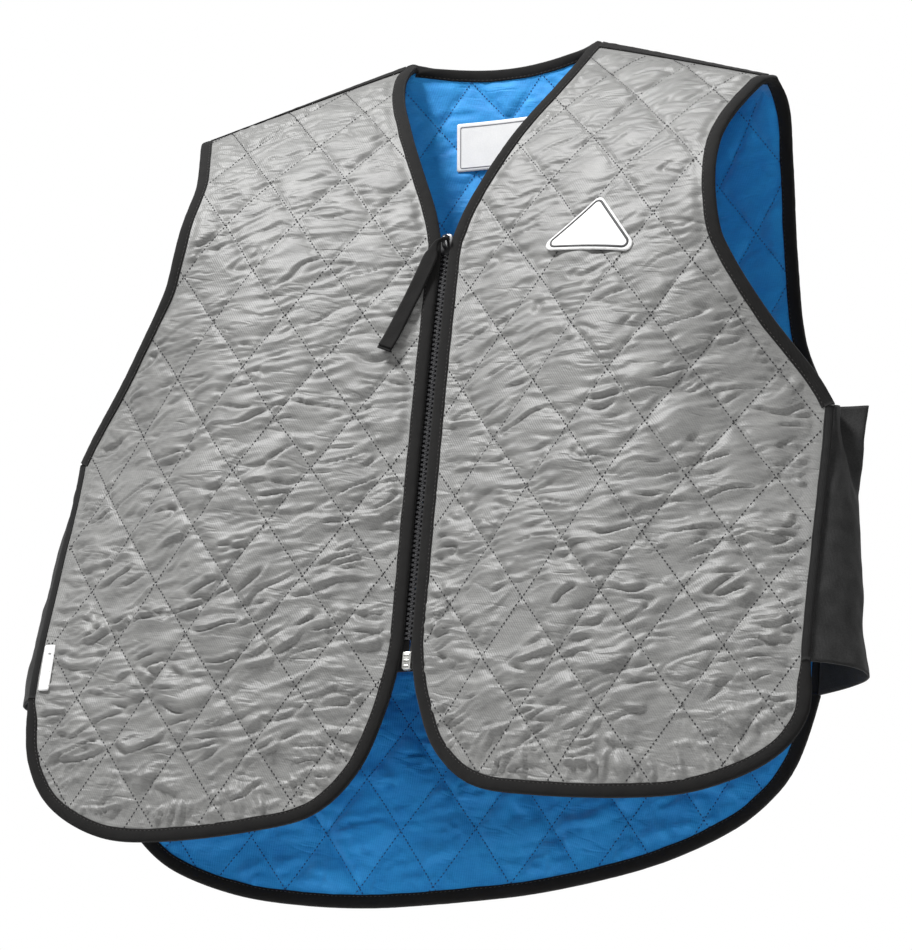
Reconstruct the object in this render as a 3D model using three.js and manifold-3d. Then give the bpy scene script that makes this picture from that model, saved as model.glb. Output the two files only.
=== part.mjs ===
import * as THREE from 'three';
import { mergeVertices } from 'three/addons/utils/BufferGeometryUtils.js';
import Module from 'manifold-3d';

// Cooling vest, standing in the form that it has over a pair of shoulders.
// Millimetres, +Z up, the front towards -Y, the wearer's left towards +X.
// The origin is midway between the two shoulder points beside the neck.

// Whole garment
const halfWidth = 266;            // centre to the side seam at the hips
const frontLength = 576;          // origin down to the front hem
const backLength = 608;           // origin down to the back hem
const frontReach = 125;           // how far the front stands ahead of the shoulder ridge
const backReach = 42;             // how far the back stands behind it
const hemUneven = 9;              // the wearer's right front hangs this much lower, the left higher
const hemTilt = 16;               // the same across the back, at its side

// Neck and shoulders
const neckHalfWidth = 72;
const neckBehind = 10;            // the shoulder point lies this far behind the origin
const vNeckDepth = 176;
const vNeckGap = 4.4;             // centre to the tape edge where the V ends
const backNeckDrop = 14;
const shoulderHalfWidth = 212;
const shoulderDrop = 56;
const shoulderClear = 5.5;        // cut edges of the two panels stop this far below the ridge
const shoulderTipRun = 17;        // their corners are cut off this far from the tip
const shoulderStripDrop = 9;
const shoulderTipClear = 5;       // between the strip and the armhole tape's turned end
const shoulderSweep = 38;         // the shoulder tip lies this far ahead of the neck point
const ridgeRounding = 40;         // how softly the two shoulder slopes meet over the neck

// Armholes and side gussets
const frontArmholeDepth = 253;    // shoulder tip down to the front underarm
const backArmholeDepth = 239;
const bandHeight = 177;           // stretch gusset, underarm to its open lower edge
const bandBulge = 24;             // how far its fold stands out beyond the front seam
const bandWall = 1.4;

// Quilting
const quiltHalfWide = 26.3;
const quiltHalfHigh = 37.2;
const quiltLean = 1.1;            // sideways drift of the stitch lines for each half diamond down
const seamThickness = 1;          // half the padding at a stitch line
const puffOutside = 3.2;          // shell above the mid surface at the middle of a diamond
const puffInside = 2.6;
const puffBetween = 0.5;          // how far the two plies' meeting face follows the puff
const plyGap = 0.3;               // between shell and lining
const leastPuff = 0.12;           // share of the puff that stays along a bound edge

// Bindings
const bindingWidth = 10.5;
const seamStripWidth = 4.2;
const bindingWall = 0.8;
const bindingHalfSlot = 2.3;
const ridgeLead = 6;              // a tape bends over the shoulder within this distance
const gap = 0.3;                  // between pieces that touch

// Zip
const zipLength = 294;            // top of the teeth to the box
const zipHalfGap = 3.75;          // centre to the binding along the teeth
const zipTapeWidth = 13;
const zipTapeWall = 0.8;
const toothPitch = 3.3;
const toothReach = 0.9;           // how far a tooth crosses the centre line
const chainHalfWidth = 3;
const chainThickness = 2.6;
const sliderLength = 16;
const sliderHalfWidth = 4.2;
const sliderNose = 3.2;           // half width at its lower end
const sliderPlate = 1.2;
const sliderClear = 0.5;
const bridgeHeight = 6;
const bridgeWall = 1;
const boxHeight = 12;
const boxHalfWidth = 2.8;
const ribbonWidth = 10;
const ribbonAcross = 33;          // how far its free end lies to the wearer's right
const ribbonLength = 80;          // and how far down
const ribbonThickness = 1.6;

// Labels
const badgeWidth = 64;
const badgeHeight = 38;
const badgeCorner = 6;
const badgeWall = 1.2;
const badgeTilt = -0.14;          // radians, its outer end hangs lower
const badgeAcross = 111;
const badgeDown = 181;
const neckLabelWidth = 78;
const neckLabelHeight = 35;
const neckLabelDown = 61;
const sideLabelWidth = 14;
const sideLabelHeight = 32;
const sideLabelAcross = 256.5;
const sideLabelDown = 465;
const labelWall = 0.6;

// Sections of the front below the shoulder ridge: how far down as a share of frontLength,
// then how far forward as shares of frontReach, from the centre out to the side.
const frontSections = [
  { down: 0,     centre: 0,    quarter: 0,     half: 0,    outer: 0,    side: 0 },
  { down: 0.043, centre: 0.16, quarter: 0.17,  half: 0.17, outer: 0.16, side: 0.10 },
  { down: 0.104, centre: 0.35, quarter: 0.36,  half: 0.36, outer: 0.34, side: 0.16 },
  { down: 0.19,  centre: 0.57, quarter: 0.57,  half: 0.56, outer: 0.51, side: 0.16 },
  { down: 0.295, centre: 0.71, quarter: 0.71,  half: 0.68, outer: 0.51, side: 0.15 },
  { down: 0.417, centre: 0.79, quarter: 0.79,  half: 0.75, outer: 0.50, side: 0.17 },
  { down: 0.556, centre: 0.85, quarter: 0.855, half: 0.81, outer: 0.58, side: 0.33 },
  { down: 0.694, centre: 0.90, quarter: 0.905, half: 0.84, outer: 0.65, side: 0.48 },
  { down: 0.85,  centre: 0.95, quarter: 0.945, half: 0.85, outer: 0.68, side: 0.51 },
  { down: 1.04,  centre: 1.00, quarter: 0.955, half: 0.83, outer: 0.67, side: 0.51 },
];

// Sections of the back: down as a share of backLength, behind the ridge as shares of backReach.
const backSections = [
  { down: 0,     centre: 0,     quarter: 0,     half: 0,     outer: 0,    side: 0 },
  { down: 0.041, centre: 0.07,  quarter: 0.21,  half: 0.33,  outer: 0.43, side: 0.43 },
  { down: 0.099, centre: 0.19,  quarter: 0.40,  half: 0.67,  outer: 0.76, side: 0.71 },
  { down: 0.181, centre: 0.33,  quarter: 0.55,  half: 0.86,  outer: 0.93, side: 0.79 },
  { down: 0.28,  centre: 0.43,  quarter: 0.64,  half: 0.93,  outer: 0.98, side: 0.79 },
  { down: 0.395, centre: 0.42,  quarter: 0.60,  half: 0.86,  outer: 0.81, side: 0.52 },
  { down: 0.526, centre: 0.29,  quarter: 0.43,  half: 0.62,  outer: 0.60, side: 0.43 },
  { down: 0.674, centre: -0.02, quarter: 0.14,  half: 0.33,  outer: 0.36, side: 0.36 },
  { down: 0.822, centre: -0.36, quarter: -0.19, half: 0.05,  outer: 0.19, side: 0.29 },
  { down: 1.03,  centre: -0.71, quarter: -0.48, half: -0.17, outer: 0.05, side: 0.24 },
];

// Edges of the cloth. The V: shares of neckHalfWidth and vNeckDepth.
const vNeckEdge = [
  { across: 1, down: 0 }, { across: 0.93, down: 0.14 }, { across: 0.79, down: 0.29 },
  { across: 0.64, down: 0.43 }, { across: 0.36, down: 0.68 }, { across: 0.17, down: 0.86 },
];
// Back of the neck: shares of neckHalfWidth and backNeckDrop.
const backNeckEdge = [
  { across: 1, down: 0 }, { across: 0.75, down: 0.11 }, { across: 0.5, down: 0.4 },
  { across: 0.28, down: 0.72 }, { across: 0, down: 1 },
];
// Armholes: across as shares of the way from the tip out to the side seam, down as shares of the depth.
const frontArmholeEdge = [
  { across: 0, down: 0 }, { across: -0.34, down: 0.19 }, { across: -0.41, down: 0.31 },
  { across: -0.32, down: 0.51 }, { across: -0.16, down: 0.61 }, { across: 0.28, down: 0.77 },
  { across: 0.79, down: 0.92 }, { across: 1, down: 1 },
];
const backArmholeEdge = [
  { across: 0, down: 0 }, { across: 0.08, down: 0.1 }, { across: 0.06, down: 0.24 },
  { across: 0.1, down: 0.5 }, { across: 0.26, down: 0.77 }, { across: 0.74, down: 1 },
];
// Hems: across as shares of halfWidth, down as shares of the way from the zip's foot, or at the
// side from the gusset's, to the hem.
const frontHemEdge = [
  { across: 0.018, down: 0 }, { across: 0.043, down: 0.285 }, { across: 0.098, down: 0.625 },
  { across: 0.2, down: 0.866 }, { across: 0.36, down: 0.957 }, { across: 0.59, down: 1 },
  { across: 0.76, down: 0.954 }, { across: 0.89, down: 0.73 }, { across: 0.97, down: 0.405 },
  { across: 1, down: 0 },
];
const backHemEdge = [
  { across: 0.955, down: 0 }, { across: 0.945, down: 0.23 }, { across: 0.915, down: 0.43 },
  { across: 0.865, down: 0.57 }, { across: 0.75, down: 0.73 }, { across: 0.56, down: 0.87 },
  { across: 0.37, down: 0.95 }, { across: 0.19, down: 0.99 }, { across: 0, down: 1 },
];

// How many straight steps each edge is drawn with
const vNeckSteps = 8;
const backNeckSteps = 6;
const armholeSteps = 22;
const hemSteps = 14;
const sideSteps = 6;
const zipSteps = 7;

const wasm = await Module();
wasm.setup();

// A smooth curve through the knots, carried on straight past its ends.
function smooth(knots, values, at) {
  const last = knots.length - 1;
  const slope = (k) => {
    const before = Math.max(0, k - 1);
    const after = Math.min(last, k + 1);
    return (values[after] - values[before]) / (knots[after] - knots[before]);
  };
  if (at < knots[0]) return values[0] + slope(0) * (at - knots[0]);
  if (at > knots[last]) return values[last] + slope(last) * (at - knots[last]);
  let i = 0;
  while (i < last - 1 && at > knots[i + 1]) i += 1;
  const span = knots[i + 1] - knots[i];
  const u = (at - knots[i]) / span;
  const rise = u * u * (3 - 2 * u);
  return values[i] * (1 - rise) + values[i + 1] * rise
    + span * u * (1 - u) * (slope(i) * (1 - u) - slope(i + 1) * u);
}

// Shoulder ridge, where front and back meet
const softened = (x) => Math.hypot(x, ridgeRounding);
function shoulderFall(x) {
  const neck = softened(neckHalfWidth);
  return (softened(x) - neck) / (softened(shoulderHalfWidth) - neck);
}
const ridgeHeight = (x) => -shoulderDrop * shoulderFall(x);
const ridgeDepth = (x) => neckBehind - shoulderSweep * shoulderFall(x);

// Depth of a section table at a place, as a share of its reach
function sectionShare(sections, length, x, z) {
  const stations = [-0.25, 0, 0.25, 0.5, 0.75, 1];
  const rows = sections.map((row) => smooth(
    stations, [row.quarter, row.centre, row.quarter, row.half, row.outer, row.side], Math.abs(x) / halfWidth,
  ));
  return smooth(sections.map((row) => row.down), rows, (ridgeHeight(x) - z) / length);
}

// A wall is a mid surface y(x, z) with its outside towards -Y or +Y.
const front = {
  outside: -1,
  depth: (x, z) => ridgeDepth(x) - frontReach * sectionShare(frontSections, frontLength, x, z),
};
const back = {
  outside: 1,
  depth: (x, z) => ridgeDepth(x) + backReach * sectionShare(backSections, backLength, x, z),
};

function wallNormal(wall, x, z) {
  const step = 1;
  const alongX = (wall.depth(x + step, z) - wall.depth(x - step, z)) / (2 * step);
  const alongZ = (wall.depth(x, z + step) - wall.depth(x, z - step)) / (2 * step);
  return new THREE.Vector3(-alongX, 1, -alongZ).normalize().multiplyScalar(wall.outside);
}

// The place that lies x across, z up and h outside the mid surface
function onWall(wall, x, z, h) {
  const place = new THREE.Vector3(x, wall.depth(x, z), z);
  return h === 0 ? place : place.addScaledVector(wallNormal(wall, x, z), h);
}

// The same on the ridge, along the mitre between the two walls
function onRidge(x, h) {
  const z = ridgeHeight(x);
  const a = wallNormal(front, x, z);
  const b = wallNormal(back, x, z);
  const mitre = a.clone().add(b).divideScalar(1 + a.dot(b));
  return new THREE.Vector3(x, ridgeDepth(x), z).addScaledVector(mitre, h);
}

// A closed mesh from corner positions and triangles, turned to face outwards
function closedGeometry(positions, triangles) {
  const a = new THREE.Vector3();
  const b = new THREE.Vector3();
  const c = new THREE.Vector3();
  let volume = 0;
  for (const [i, j, k] of triangles) {
    a.fromArray(positions, 3 * i);
    b.fromArray(positions, 3 * j);
    c.fromArray(positions, 3 * k);
    volume += a.dot(b.cross(c));
  }
  const turned = volume < 0 ? triangles.map(([i, j, k]) => [i, k, j]) : triangles;
  const geometry = new THREE.BufferGeometry();
  geometry.setAttribute('position', new THREE.Float32BufferAttribute(positions, 3));
  geometry.setIndex(turned.flat());
  return geometry;
}

// A solid through rings of equal length: section gives the flat outline that closes its two ends.
function loft(rings, section) {
  const count = section.length;
  const positions = rings.flat().flatMap((p) => p.toArray());
  const triangles = [];
  for (let r = 0; r + 1 < rings.length; r += 1) {
    for (let k = 0; k < count; k += 1) {
      const next = (k + 1) % count;
      const a = r * count + k;
      const b = r * count + next;
      triangles.push([a, b, b + count], [a, b + count, a + count]);
    }
  }
  const outline = section.map(([u, v]) => new THREE.Vector2(u, v));
  const clockwise = THREE.ShapeUtils.isClockWise(outline);
  const last = (rings.length - 1) * count;
  for (const [i, j, k] of THREE.ShapeUtils.triangulateShape(outline, [])) {
    const [second, third] = clockwise ? [j, k] : [k, j];
    triangles.push([i, second, third], [last + i, last + third, last + second]);
  }
  return closedGeometry(positions, triangles);
}

// Edges as curves on the pattern, whose two axes are across and up
function edgeCurve(rows, place, steps) {
  return new THREE.SplineCurve(rows.map((row) => new THREE.Vector2(...place(row)))).getSpacedPoints(steps);
}

const underarmFront = -shoulderDrop - frontArmholeDepth;
const underarmBack = -shoulderDrop - backArmholeDepth;
const bandFoot = underarmFront - bandHeight;
const zipTop = -vNeckDepth;
const zipFoot = zipTop - zipLength;
const backSide = backHemEdge[0].across * halfWidth;

const vNeck = edgeCurve(
  [...vNeckEdge, { across: vNeckGap / neckHalfWidth, down: 1 }],
  (row) => [row.across * neckHalfWidth, -row.down * vNeckDepth], vNeckSteps,
);
const backNeck = edgeCurve(backNeckEdge, (row) => [row.across * neckHalfWidth, -row.down * backNeckDrop], backNeckSteps);
const frontArmhole = edgeCurve(frontArmholeEdge, (row) => [
  shoulderHalfWidth + row.across * (halfWidth - shoulderHalfWidth),
  -shoulderDrop - row.down * frontArmholeDepth,
], armholeSteps);
const backArmhole = edgeCurve(backArmholeEdge, (row) => [
  shoulderHalfWidth + row.across * (halfWidth - shoulderHalfWidth),
  -shoulderDrop - row.down * backArmholeDepth,
], armholeSteps);

// The hems hang unevenly: side is +1 on the wearer's left and -1 on the right.
const frontHem = (side) => edgeCurve(frontHemEdge, (row) => {
  const start = THREE.MathUtils.lerp(zipFoot, bandFoot, row.across);
  return [row.across * halfWidth, start - row.down * (frontLength + start - side * hemUneven)];
}, hemSteps);
const backHem = (side) => edgeCurve(backHemEdge, (row) => [
  row.across * halfWidth,
  bandFoot - row.down * (backLength + bandFoot - side * hemTilt * row.across),
], hemSteps);

function straight(from, to, steps) {
  return new THREE.LineCurve(new THREE.Vector2(...from), new THREE.Vector2(...to)).getPoints(steps);
}
const zipEdge = straight([zipHalfGap, zipTop - 0.05 * zipLength], [zipHalfGap, zipFoot + 0.03 * zipLength], zipSteps);
const frontSideEdge = (side) => {
  const foot = frontHem(side).at(-1);
  return straight([foot.x, foot.y], [halfWidth, underarmFront], sideSteps);
};
const backSideEdge = straight([backSide, bandFoot], [backArmhole.at(-1).x, underarmBack], sideSteps);

// The way that faces into the cloth at each point of an edge with the cloth on its left
function inwards(path) {
  return path.map((point, i) => {
    const before = path[Math.max(0, i - 1)];
    const after = path[Math.min(path.length - 1, i + 1)];
    const along = after.clone().sub(before).normalize();
    return new THREE.Vector2(-along.y, along.x);
  });
}

// Every point of a loop moved into the cloth, with its corners kept sharp
function insetLoop(loop, distance) {
  return loop.map((point, i) => {
    const before = point.clone().sub(loop[(i + loop.length - 1) % loop.length]).normalize();
    const after = loop[(i + 1) % loop.length].clone().sub(point).normalize();
    const a = new THREE.Vector2(-before.y, before.x);
    const b = new THREE.Vector2(-after.y, after.x);
    return point.clone().addScaledVector(a.clone().add(b), distance / (1 + a.dot(b)));
  });
}

function withoutRepeats(points) {
  return points.filter((point, i) => i === 0 || point.distanceTo(points[i - 1]) > gap);
}

// Cut edge of a panel: inside its bindings, and clear of the other panel at the shoulder
const nearTip = shoulderHalfWidth - shoulderTipRun;
const shoulderCorner = new THREE.Vector2(nearTip, ridgeHeight(nearTip));
const panelInset = bindingWall + gap;
function panelOutline(loop) {
  const inner = insetLoop(withoutRepeats(loop), panelInset);
  const topAt = (x) => ridgeHeight(x) - shoulderClear;
  const isTip = (point) => Math.abs(point.x) > nearTip + gap && point.y > topAt(point.x) - ridgeLead;
  return inner.filter((point) => !isTip(point))
    .map((point) => new THREE.Vector2(point.x, Math.min(point.y, topAt(point.x))));
}
const frontOutline = (side) => panelOutline([
  ...vNeck, ...zipEdge, ...frontHem(side), ...frontSideEdge(side).slice(1, -1), ...[...frontArmhole].reverse(),
  shoulderCorner,
]);
const backHalf = (side) => [
  ...[...backNeck].reverse(), shoulderCorner, ...backArmhole,
  ...[...backSideEdge].reverse().slice(1, -1), ...backHem(side),
];
const mirrored = (points) => points.map((point) => new THREE.Vector2(-point.x, point.y));
const backOutline = panelOutline([
  ...[...backHalf(1)].reverse(), ...mirrored(backHalf(-1)),
].slice(1, -1));

// Quilted walls

// How far inside an outline a place lies, negative outside it
function depthInside(outline, x, z) {
  const place = new THREE.Vector3(x, z, 0);
  const nearest = new THREE.Vector3();
  let inside = false;
  let least = Infinity;
  outline.forEach((point, i) => {
    const next = outline[(i + 1) % outline.length];
    const edge = new THREE.Line3(new THREE.Vector3(point.x, point.y, 0), new THREE.Vector3(next.x, next.y, 0));
    least = Math.min(least, edge.closestPointToPoint(place, true, nearest).distanceTo(place));
    const crosses = (point.y > z) !== (next.y > z);
    if (crosses && x < point.x + (next.x - point.x) * (z - point.y) / (next.y - point.y)) inside = !inside;
  });
  return inside ? least : -least;
}

// A quilted panel is a grid of stitch crossings and diamond middles. Its cloth is flat between them.
function makePanel(wall, outline, anchor) {
  const zs = outline.map((point) => point.y);
  const rows = quiltRows(wall, anchor.z, Math.max(...zs) + 1, Math.min(...zs) - 1);
  return { wall, outline, anchor, rows, anchorRow: rows.indexOf(anchor.z), corners: new Map() };
}

// Heights at which the rows of half diamonds lie, equally spaced along the hanging cloth
function quiltRows(wall, anchorHeight, top, foot) {
  const across = halfWidth / 2;
  const rows = [anchorHeight];
  for (const way of [1, -1]) {
    let z = anchorHeight;
    while (z < top && z > foot) {
      const slope = wall.depth(across, z + way) - wall.depth(across, z);
      z += way * quiltHalfHigh / Math.hypot(1, slope);
      rows.push(z);
    }
  }
  return rows.sort((a, b) => b - a);
}

const isCrossing = (panel, i, r) => (i + r - panel.anchorRow) % 2 === 0;
const gridX = (panel, i, r) => panel.anchor.x + i * quiltHalfWide + (r - panel.anchorRow) * quiltLean;

function gridCorner(panel, i, r) {
  const key = `${i} ${r}`;
  if (!panel.corners.has(key)) {
    const x = gridX(panel, i, r);
    const z = panel.rows[r];
    const room = (depthInside(panel.outline, x, z) - bindingWidth) / quiltHalfWide;
    panel.corners.set(key, {
      place: onWall(panel.wall, x, z, 0),
      out: wallNormal(panel.wall, x, z),
      puff: isCrossing(panel, i, r) ? 0 : Math.min(1, Math.max(leastPuff, room)),
    });
  }
  return panel.corners.get(key);
}
const faceHeight = (face, corner) => face.crossing + (face.middle - face.crossing) * corner.puff;

// The three grid corners round a place, with their shares
function cornersRound(panel, x, z) {
  const { rows } = panel;
  let r = 0;
  while (r < rows.length - 2 && z < rows[r + 1]) r += 1;
  const u = (rows[r] - z) / (rows[r] - rows[r + 1]);
  const columns = (x - gridX(panel, 0, r) - u * quiltLean) / quiltHalfWide;
  const i = Math.floor(columns);
  const s = columns - i;
  let shares;
  if (isCrossing(panel, i, r)) {
    shares = u > s ? [[i, r, 1 - u], [i, r + 1, u - s], [i + 1, r + 1, s]]
      : [[i, r, 1 - s], [i + 1, r, s - u], [i + 1, r + 1, u]];
  } else {
    shares = s + u < 1 ? [[i, r, 1 - s - u], [i + 1, r, s], [i, r + 1, u]]
      : [[i + 1, r + 1, s + u - 1], [i + 1, r, 1 - u], [i, r + 1, 1 - s]];
  }
  return shares.map(([column, row, share]) => ({ corner: gridCorner(panel, column, row), share }));
}

// The place on a panel's own flat facets that lies x across, z up and h outside them
function onPanel(panel, x, z, h) {
  const place = new THREE.Vector3();
  for (const { corner, share } of cornersRound(panel, x, z)) {
    place.addScaledVector(corner.place, share).addScaledVector(corner.out, share * h);
  }
  return place;
}
// The place on one of its puffed faces
function onFace(panel, face, x, z) {
  let h = 0;
  for (const { corner, share } of cornersRound(panel, x, z)) h += share * faceHeight(face, corner);
  return onPanel(panel, x, z, h);
}

function toManifold(geometry) {
  const mesh = new wasm.Mesh({
    numProp: 3,
    vertProperties: new Float32Array(geometry.attributes.position.array),
    triVerts: new Uint32Array(geometry.index.array),
  });
  mesh.merge();
  return new wasm.Manifold(mesh);
}

// A prism over an outline on the pattern, thick enough to cut any ply
function prism(outline, reach) {
  const flat = new THREE.ExtrudeGeometry(new THREE.Shape(outline), { depth: 2 * reach, bevelEnabled: false });
  flat.deleteAttribute('normal');
  flat.deleteAttribute('uv');
  flat.translate(0, 0, -reach);
  const positions = [...flat.attributes.position.array];
  const triangles = [];
  for (let i = 0; i < positions.length / 3; i += 3) triangles.push([i, i + 1, i + 2]);
  return toManifold(closedGeometry(positions, triangles));
}

// One ply on the pattern, between two faces that give the height of a crossing and of a middle
function quiltPly(panel, lower, upper) {
  const { outline, rows } = panel;
  const xs = outline.map((point) => point.x);
  const lean = rows.length * quiltLean;
  const first = Math.floor((Math.min(...xs) - lean - panel.anchor.x) / quiltHalfWide) - 1;
  const last = Math.ceil((Math.max(...xs) + lean - panel.anchor.x) / quiltHalfWide) + 1;
  const columns = last - first + 1;
  const positions = [];
  for (const ply of [upper, lower]) {
    rows.forEach((z, r) => {
      for (let i = first; i <= last; i += 1) {
        positions.push(gridX(panel, i, r), z, faceHeight(ply, gridCorner(panel, i, r)));
      }
    });
  }
  const layer = rows.length * columns;
  const triangles = [];
  for (let r = 0; r + 1 < rows.length; r += 1) {
    for (let c = 0; c + 1 < columns; c += 1) {
      const a = r * columns + c;
      const [b, d, e] = [a + 1, a + columns, a + columns + 1];
      const pair = isCrossing(panel, first + c, r) ? [[a, d, e], [a, e, b]] : [[a, d, b], [b, d, e]];
      for (const [i, j, k] of pair) triangles.push([i, j, k], [layer + i, layer + k, layer + j]);
    }
  }
  const wallStrip = (a, b) => triangles.push([a, b, layer + b], [a, layer + b, layer + a]);
  for (let c = 0; c + 1 < columns; c += 1) {
    wallStrip(c, c + 1);
    wallStrip((rows.length - 1) * columns + c + 1, (rows.length - 1) * columns + c);
  }
  for (let r = 0; r + 1 < rows.length; r += 1) {
    wallStrip((r + 1) * columns, r * columns);
    wallStrip((r + 1) * columns - 1, (r + 2) * columns - 1);
  }
  const reach = puffOutside + puffInside;
  return wrapped(toManifold(closedGeometry(positions, triangles)).intersect(prism(outline, reach)), panel);
}

// From the pattern onto a panel's facets, or onto the smooth front where no panel is given
function wrapped(solid, panel) {
  const mesh = solid.getMesh();
  const positions = [];
  for (let i = 0; i < mesh.vertProperties.length; i += 3) {
    const [x, z, h] = mesh.vertProperties.slice(i, i + 3);
    positions.push(...(panel ? onPanel(panel, x, z, h) : onWall(front, x, z, h)).toArray());
  }
  const triangles = [];
  for (let i = 0; i < mesh.triVerts.length; i += 3) triangles.push([...mesh.triVerts.slice(i, i + 3)]);
  return closedGeometry(positions, triangles);
}

const meetingFace = (way) => ({ crossing: way * plyGap / 2, middle: puffBetween + way * plyGap / 2 });
const outerFace = { crossing: seamThickness, middle: puffOutside };
const innerFace = { crossing: -seamThickness, middle: -puffInside };

// Folded tape round an edge, from the pattern's own points. Each station is a place, a way in and a wall.
function tapeSection(width) {
  const outer = bindingHalfSlot + bindingWall;
  return [
    [0, outer], [width, outer], [width, bindingHalfSlot], [bindingWall, bindingHalfSlot],
    [bindingWall, -bindingHalfSlot], [width, -bindingHalfSlot], [width, -outer], [0, -outer],
  ];
}
function edgeStations(path, panel) {
  const ways = inwards(path);
  return path.map((point, i) => ({ point, way: ways[i], panel }));
}
// A path that starts on the ridge, with one more point close below it in place of the first
function belowRidge(path) {
  const [first, second] = path;
  const lead = first.clone().lerp(second, ridgeLead / first.distanceTo(second));
  return [lead, ...path.slice(1)];
}
function ridgeStation(x, way, shift = 0) {
  return { ridge: true, x, way, shift };
}
function tape(stations, side, width) {
  const section = tapeSection(width);
  const rings = stations.map((station) => section.map(([inward, h]) => {
    if (station.ridge) {
      return onRidge(side * (station.x + station.way * inward), h).add(new THREE.Vector3(0, station.shift, 0));
    }
    const place = station.point.clone().addScaledVector(station.way, inward);
    return onPanel(station.panel, side * place.x, place.y, h);
  }));
  return loft(rings, section);
}

// Shoulder strip: an upside-down V over the ridge
function shoulderStrip(side) {
  const outer = bindingHalfSlot + bindingWall;
  const legDrop = shoulderStripDrop;
  const from = neckHalfWidth + bindingWidth + gap;
  const to = shoulderHalfWidth - bindingWidth - shoulderTipClear;
  const section = [
    [-legDrop, bindingHalfSlot], [-legDrop, outer], [0, outer],
    [legDrop, outer], [legDrop, bindingHalfSlot], [0, bindingHalfSlot],
  ];
  const steps = 6;
  const rings = [];
  for (let i = 0; i <= steps; i += 1) {
    const x = side * (from + (to - from) * i / steps);
    rings.push(section.map(([drop, h]) => {
      if (drop === 0) return onRidge(x, h);
      return onWall(drop < 0 ? front : back, x, ridgeHeight(x) - Math.abs(drop), h);
    }));
  }
  return loft(rings, [[-legDrop, -legDrop], [-legDrop - 1, -legDrop], [0, 2], [legDrop + 1, -legDrop], [legDrop, -legDrop], [0, 1]]);
}

// Stretch gusset: a folded wall between the two side seams, open at its foot
function sideBand(side) {
  const across = 6;
  const down = 6;
  const seamFace = gap + bandWall / 2;
  const rings = [];
  for (let r = 0; r <= down; r += 1) {
    const t = r / down;
    const zFront = underarmFront + (bandFoot - underarmFront) * t;
    const zBack = underarmBack + (bandFoot - underarmBack) * t;
    const frontX = halfWidth + seamFace;
    const start = new THREE.Vector3(side * frontX, front.depth(side * halfWidth, zFront), zFront);
    const backX = THREE.MathUtils.lerp(backArmhole.at(-1).x, backSide, t) + seamFace;
    const end = new THREE.Vector3(side * backX, back.depth(side * backX, zBack), zBack);
    const fold = start.clone().lerp(end, 0.55);
    fold.x = side * (halfWidth + bandBulge);
    const lead = side * bandBulge * 0.75;
    const curve = new THREE.CatmullRomCurve3([
      start, start.clone().lerp(fold, 0.4).setX(start.x + 0.62 * (fold.x - start.x)), fold,
      end.clone().lerp(fold, 0.45).setX(end.x + lead), end,
    ]);
    const line = curve.getPoints(across);
    const outer = [];
    const inner = [];
    line.forEach((point, i) => {
      const before = line[Math.max(0, i - 1)];
      const after = line[Math.min(across, i + 1)];
      const along = after.clone().sub(before).setZ(0).normalize();
      const out = new THREE.Vector3(-along.y * side, along.x * side, 0).multiplyScalar(-bandWall / 2);
      outer.push(point.clone().add(out));
      inner.push(point.clone().sub(out));
    });
    rings.push([...outer, ...inner.reverse()]);
  }
  return loft(rings, rings[0].map(({ x, y }) => [x, y]));
}

// Zip
const tapeOutside = -(bindingHalfSlot + bindingWall + gap);
const chainMiddle = tapeOutside - zipTapeWall / 2;
function zipTape(side, panel) {
  const inner = chainHalfWidth + gap;
  const section = [[inner, tapeOutside], [inner + zipTapeWidth, tapeOutside],
    [inner + zipTapeWidth, tapeOutside - zipTapeWall], [inner, tapeOutside - zipTapeWall]];
  const foot = zipFoot - boxHeight / 2;
  const rings = straight([0, zipTop], [0, foot], zipSteps)
    .map(({ y }) => section.map(([x, h]) => onPanel(panel, side * x, y, h)));
  return loft(rings, section);
}

// Teeth of one side as a comb. The two combs follow one zigzag, a gap apart.
function zipTeeth(side) {
  const count = Math.floor((zipLength - boxHeight) / toothPitch);
  const zigzag = [];
  for (let k = 0; k <= 2 * count; k += 1) {
    const x = (k % 2 === 0 ? toothReach : -toothReach) + side * gap / 2;
    zigzag.push(new THREE.Vector2(x, zipTop - k * toothPitch / 2));
  }
  const foot = zigzag.at(-1).y;
  const comb = [...zigzag, new THREE.Vector2(side * chainHalfWidth, foot), new THREE.Vector2(side * chainHalfWidth, zipTop)];
  const flat = new THREE.ExtrudeGeometry(new THREE.Shape(comb), { depth: chainThickness, bevelEnabled: false });
  flat.translate(0, 0, chainMiddle - chainThickness / 2);
  return wrappedGeometry(flat);
}

// A flat extrusion on the pattern, wrapped onto the front
function wrappedGeometry(flat) {
  const corners = new Map();
  const positions = [];
  const index = [];
  const source = flat.attributes.position;
  for (let i = 0; i < source.count; i += 1) {
    const place = [source.getX(i), source.getY(i), source.getZ(i)];
    const key = place.map((value) => value.toFixed(4)).join(' ');
    if (!corners.has(key)) {
      corners.set(key, positions.length / 3);
      positions.push(...onWall(front, ...place).toArray());
    }
    index.push(corners.get(key));
  }
  const triangles = [];
  for (let i = 0; i < index.length; i += 3) triangles.push(index.slice(i, i + 3));
  return closedGeometry(positions, triangles);
}

function solidBox(width, height, depth, x, z, h) {
  return toManifoldFlat(new THREE.BoxGeometry(width, height, depth).translate(x, z, h));
}
function toManifoldFlat(geometry) {
  const source = geometry.index ? geometry.toNonIndexed() : geometry;
  const positions = [...source.attributes.position.array];
  const triangles = [];
  for (let i = 0; i < positions.length / 3; i += 3) triangles.push([i, i + 1, i + 2]);
  return toManifold(closedGeometry(positions, triangles));
}

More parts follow.
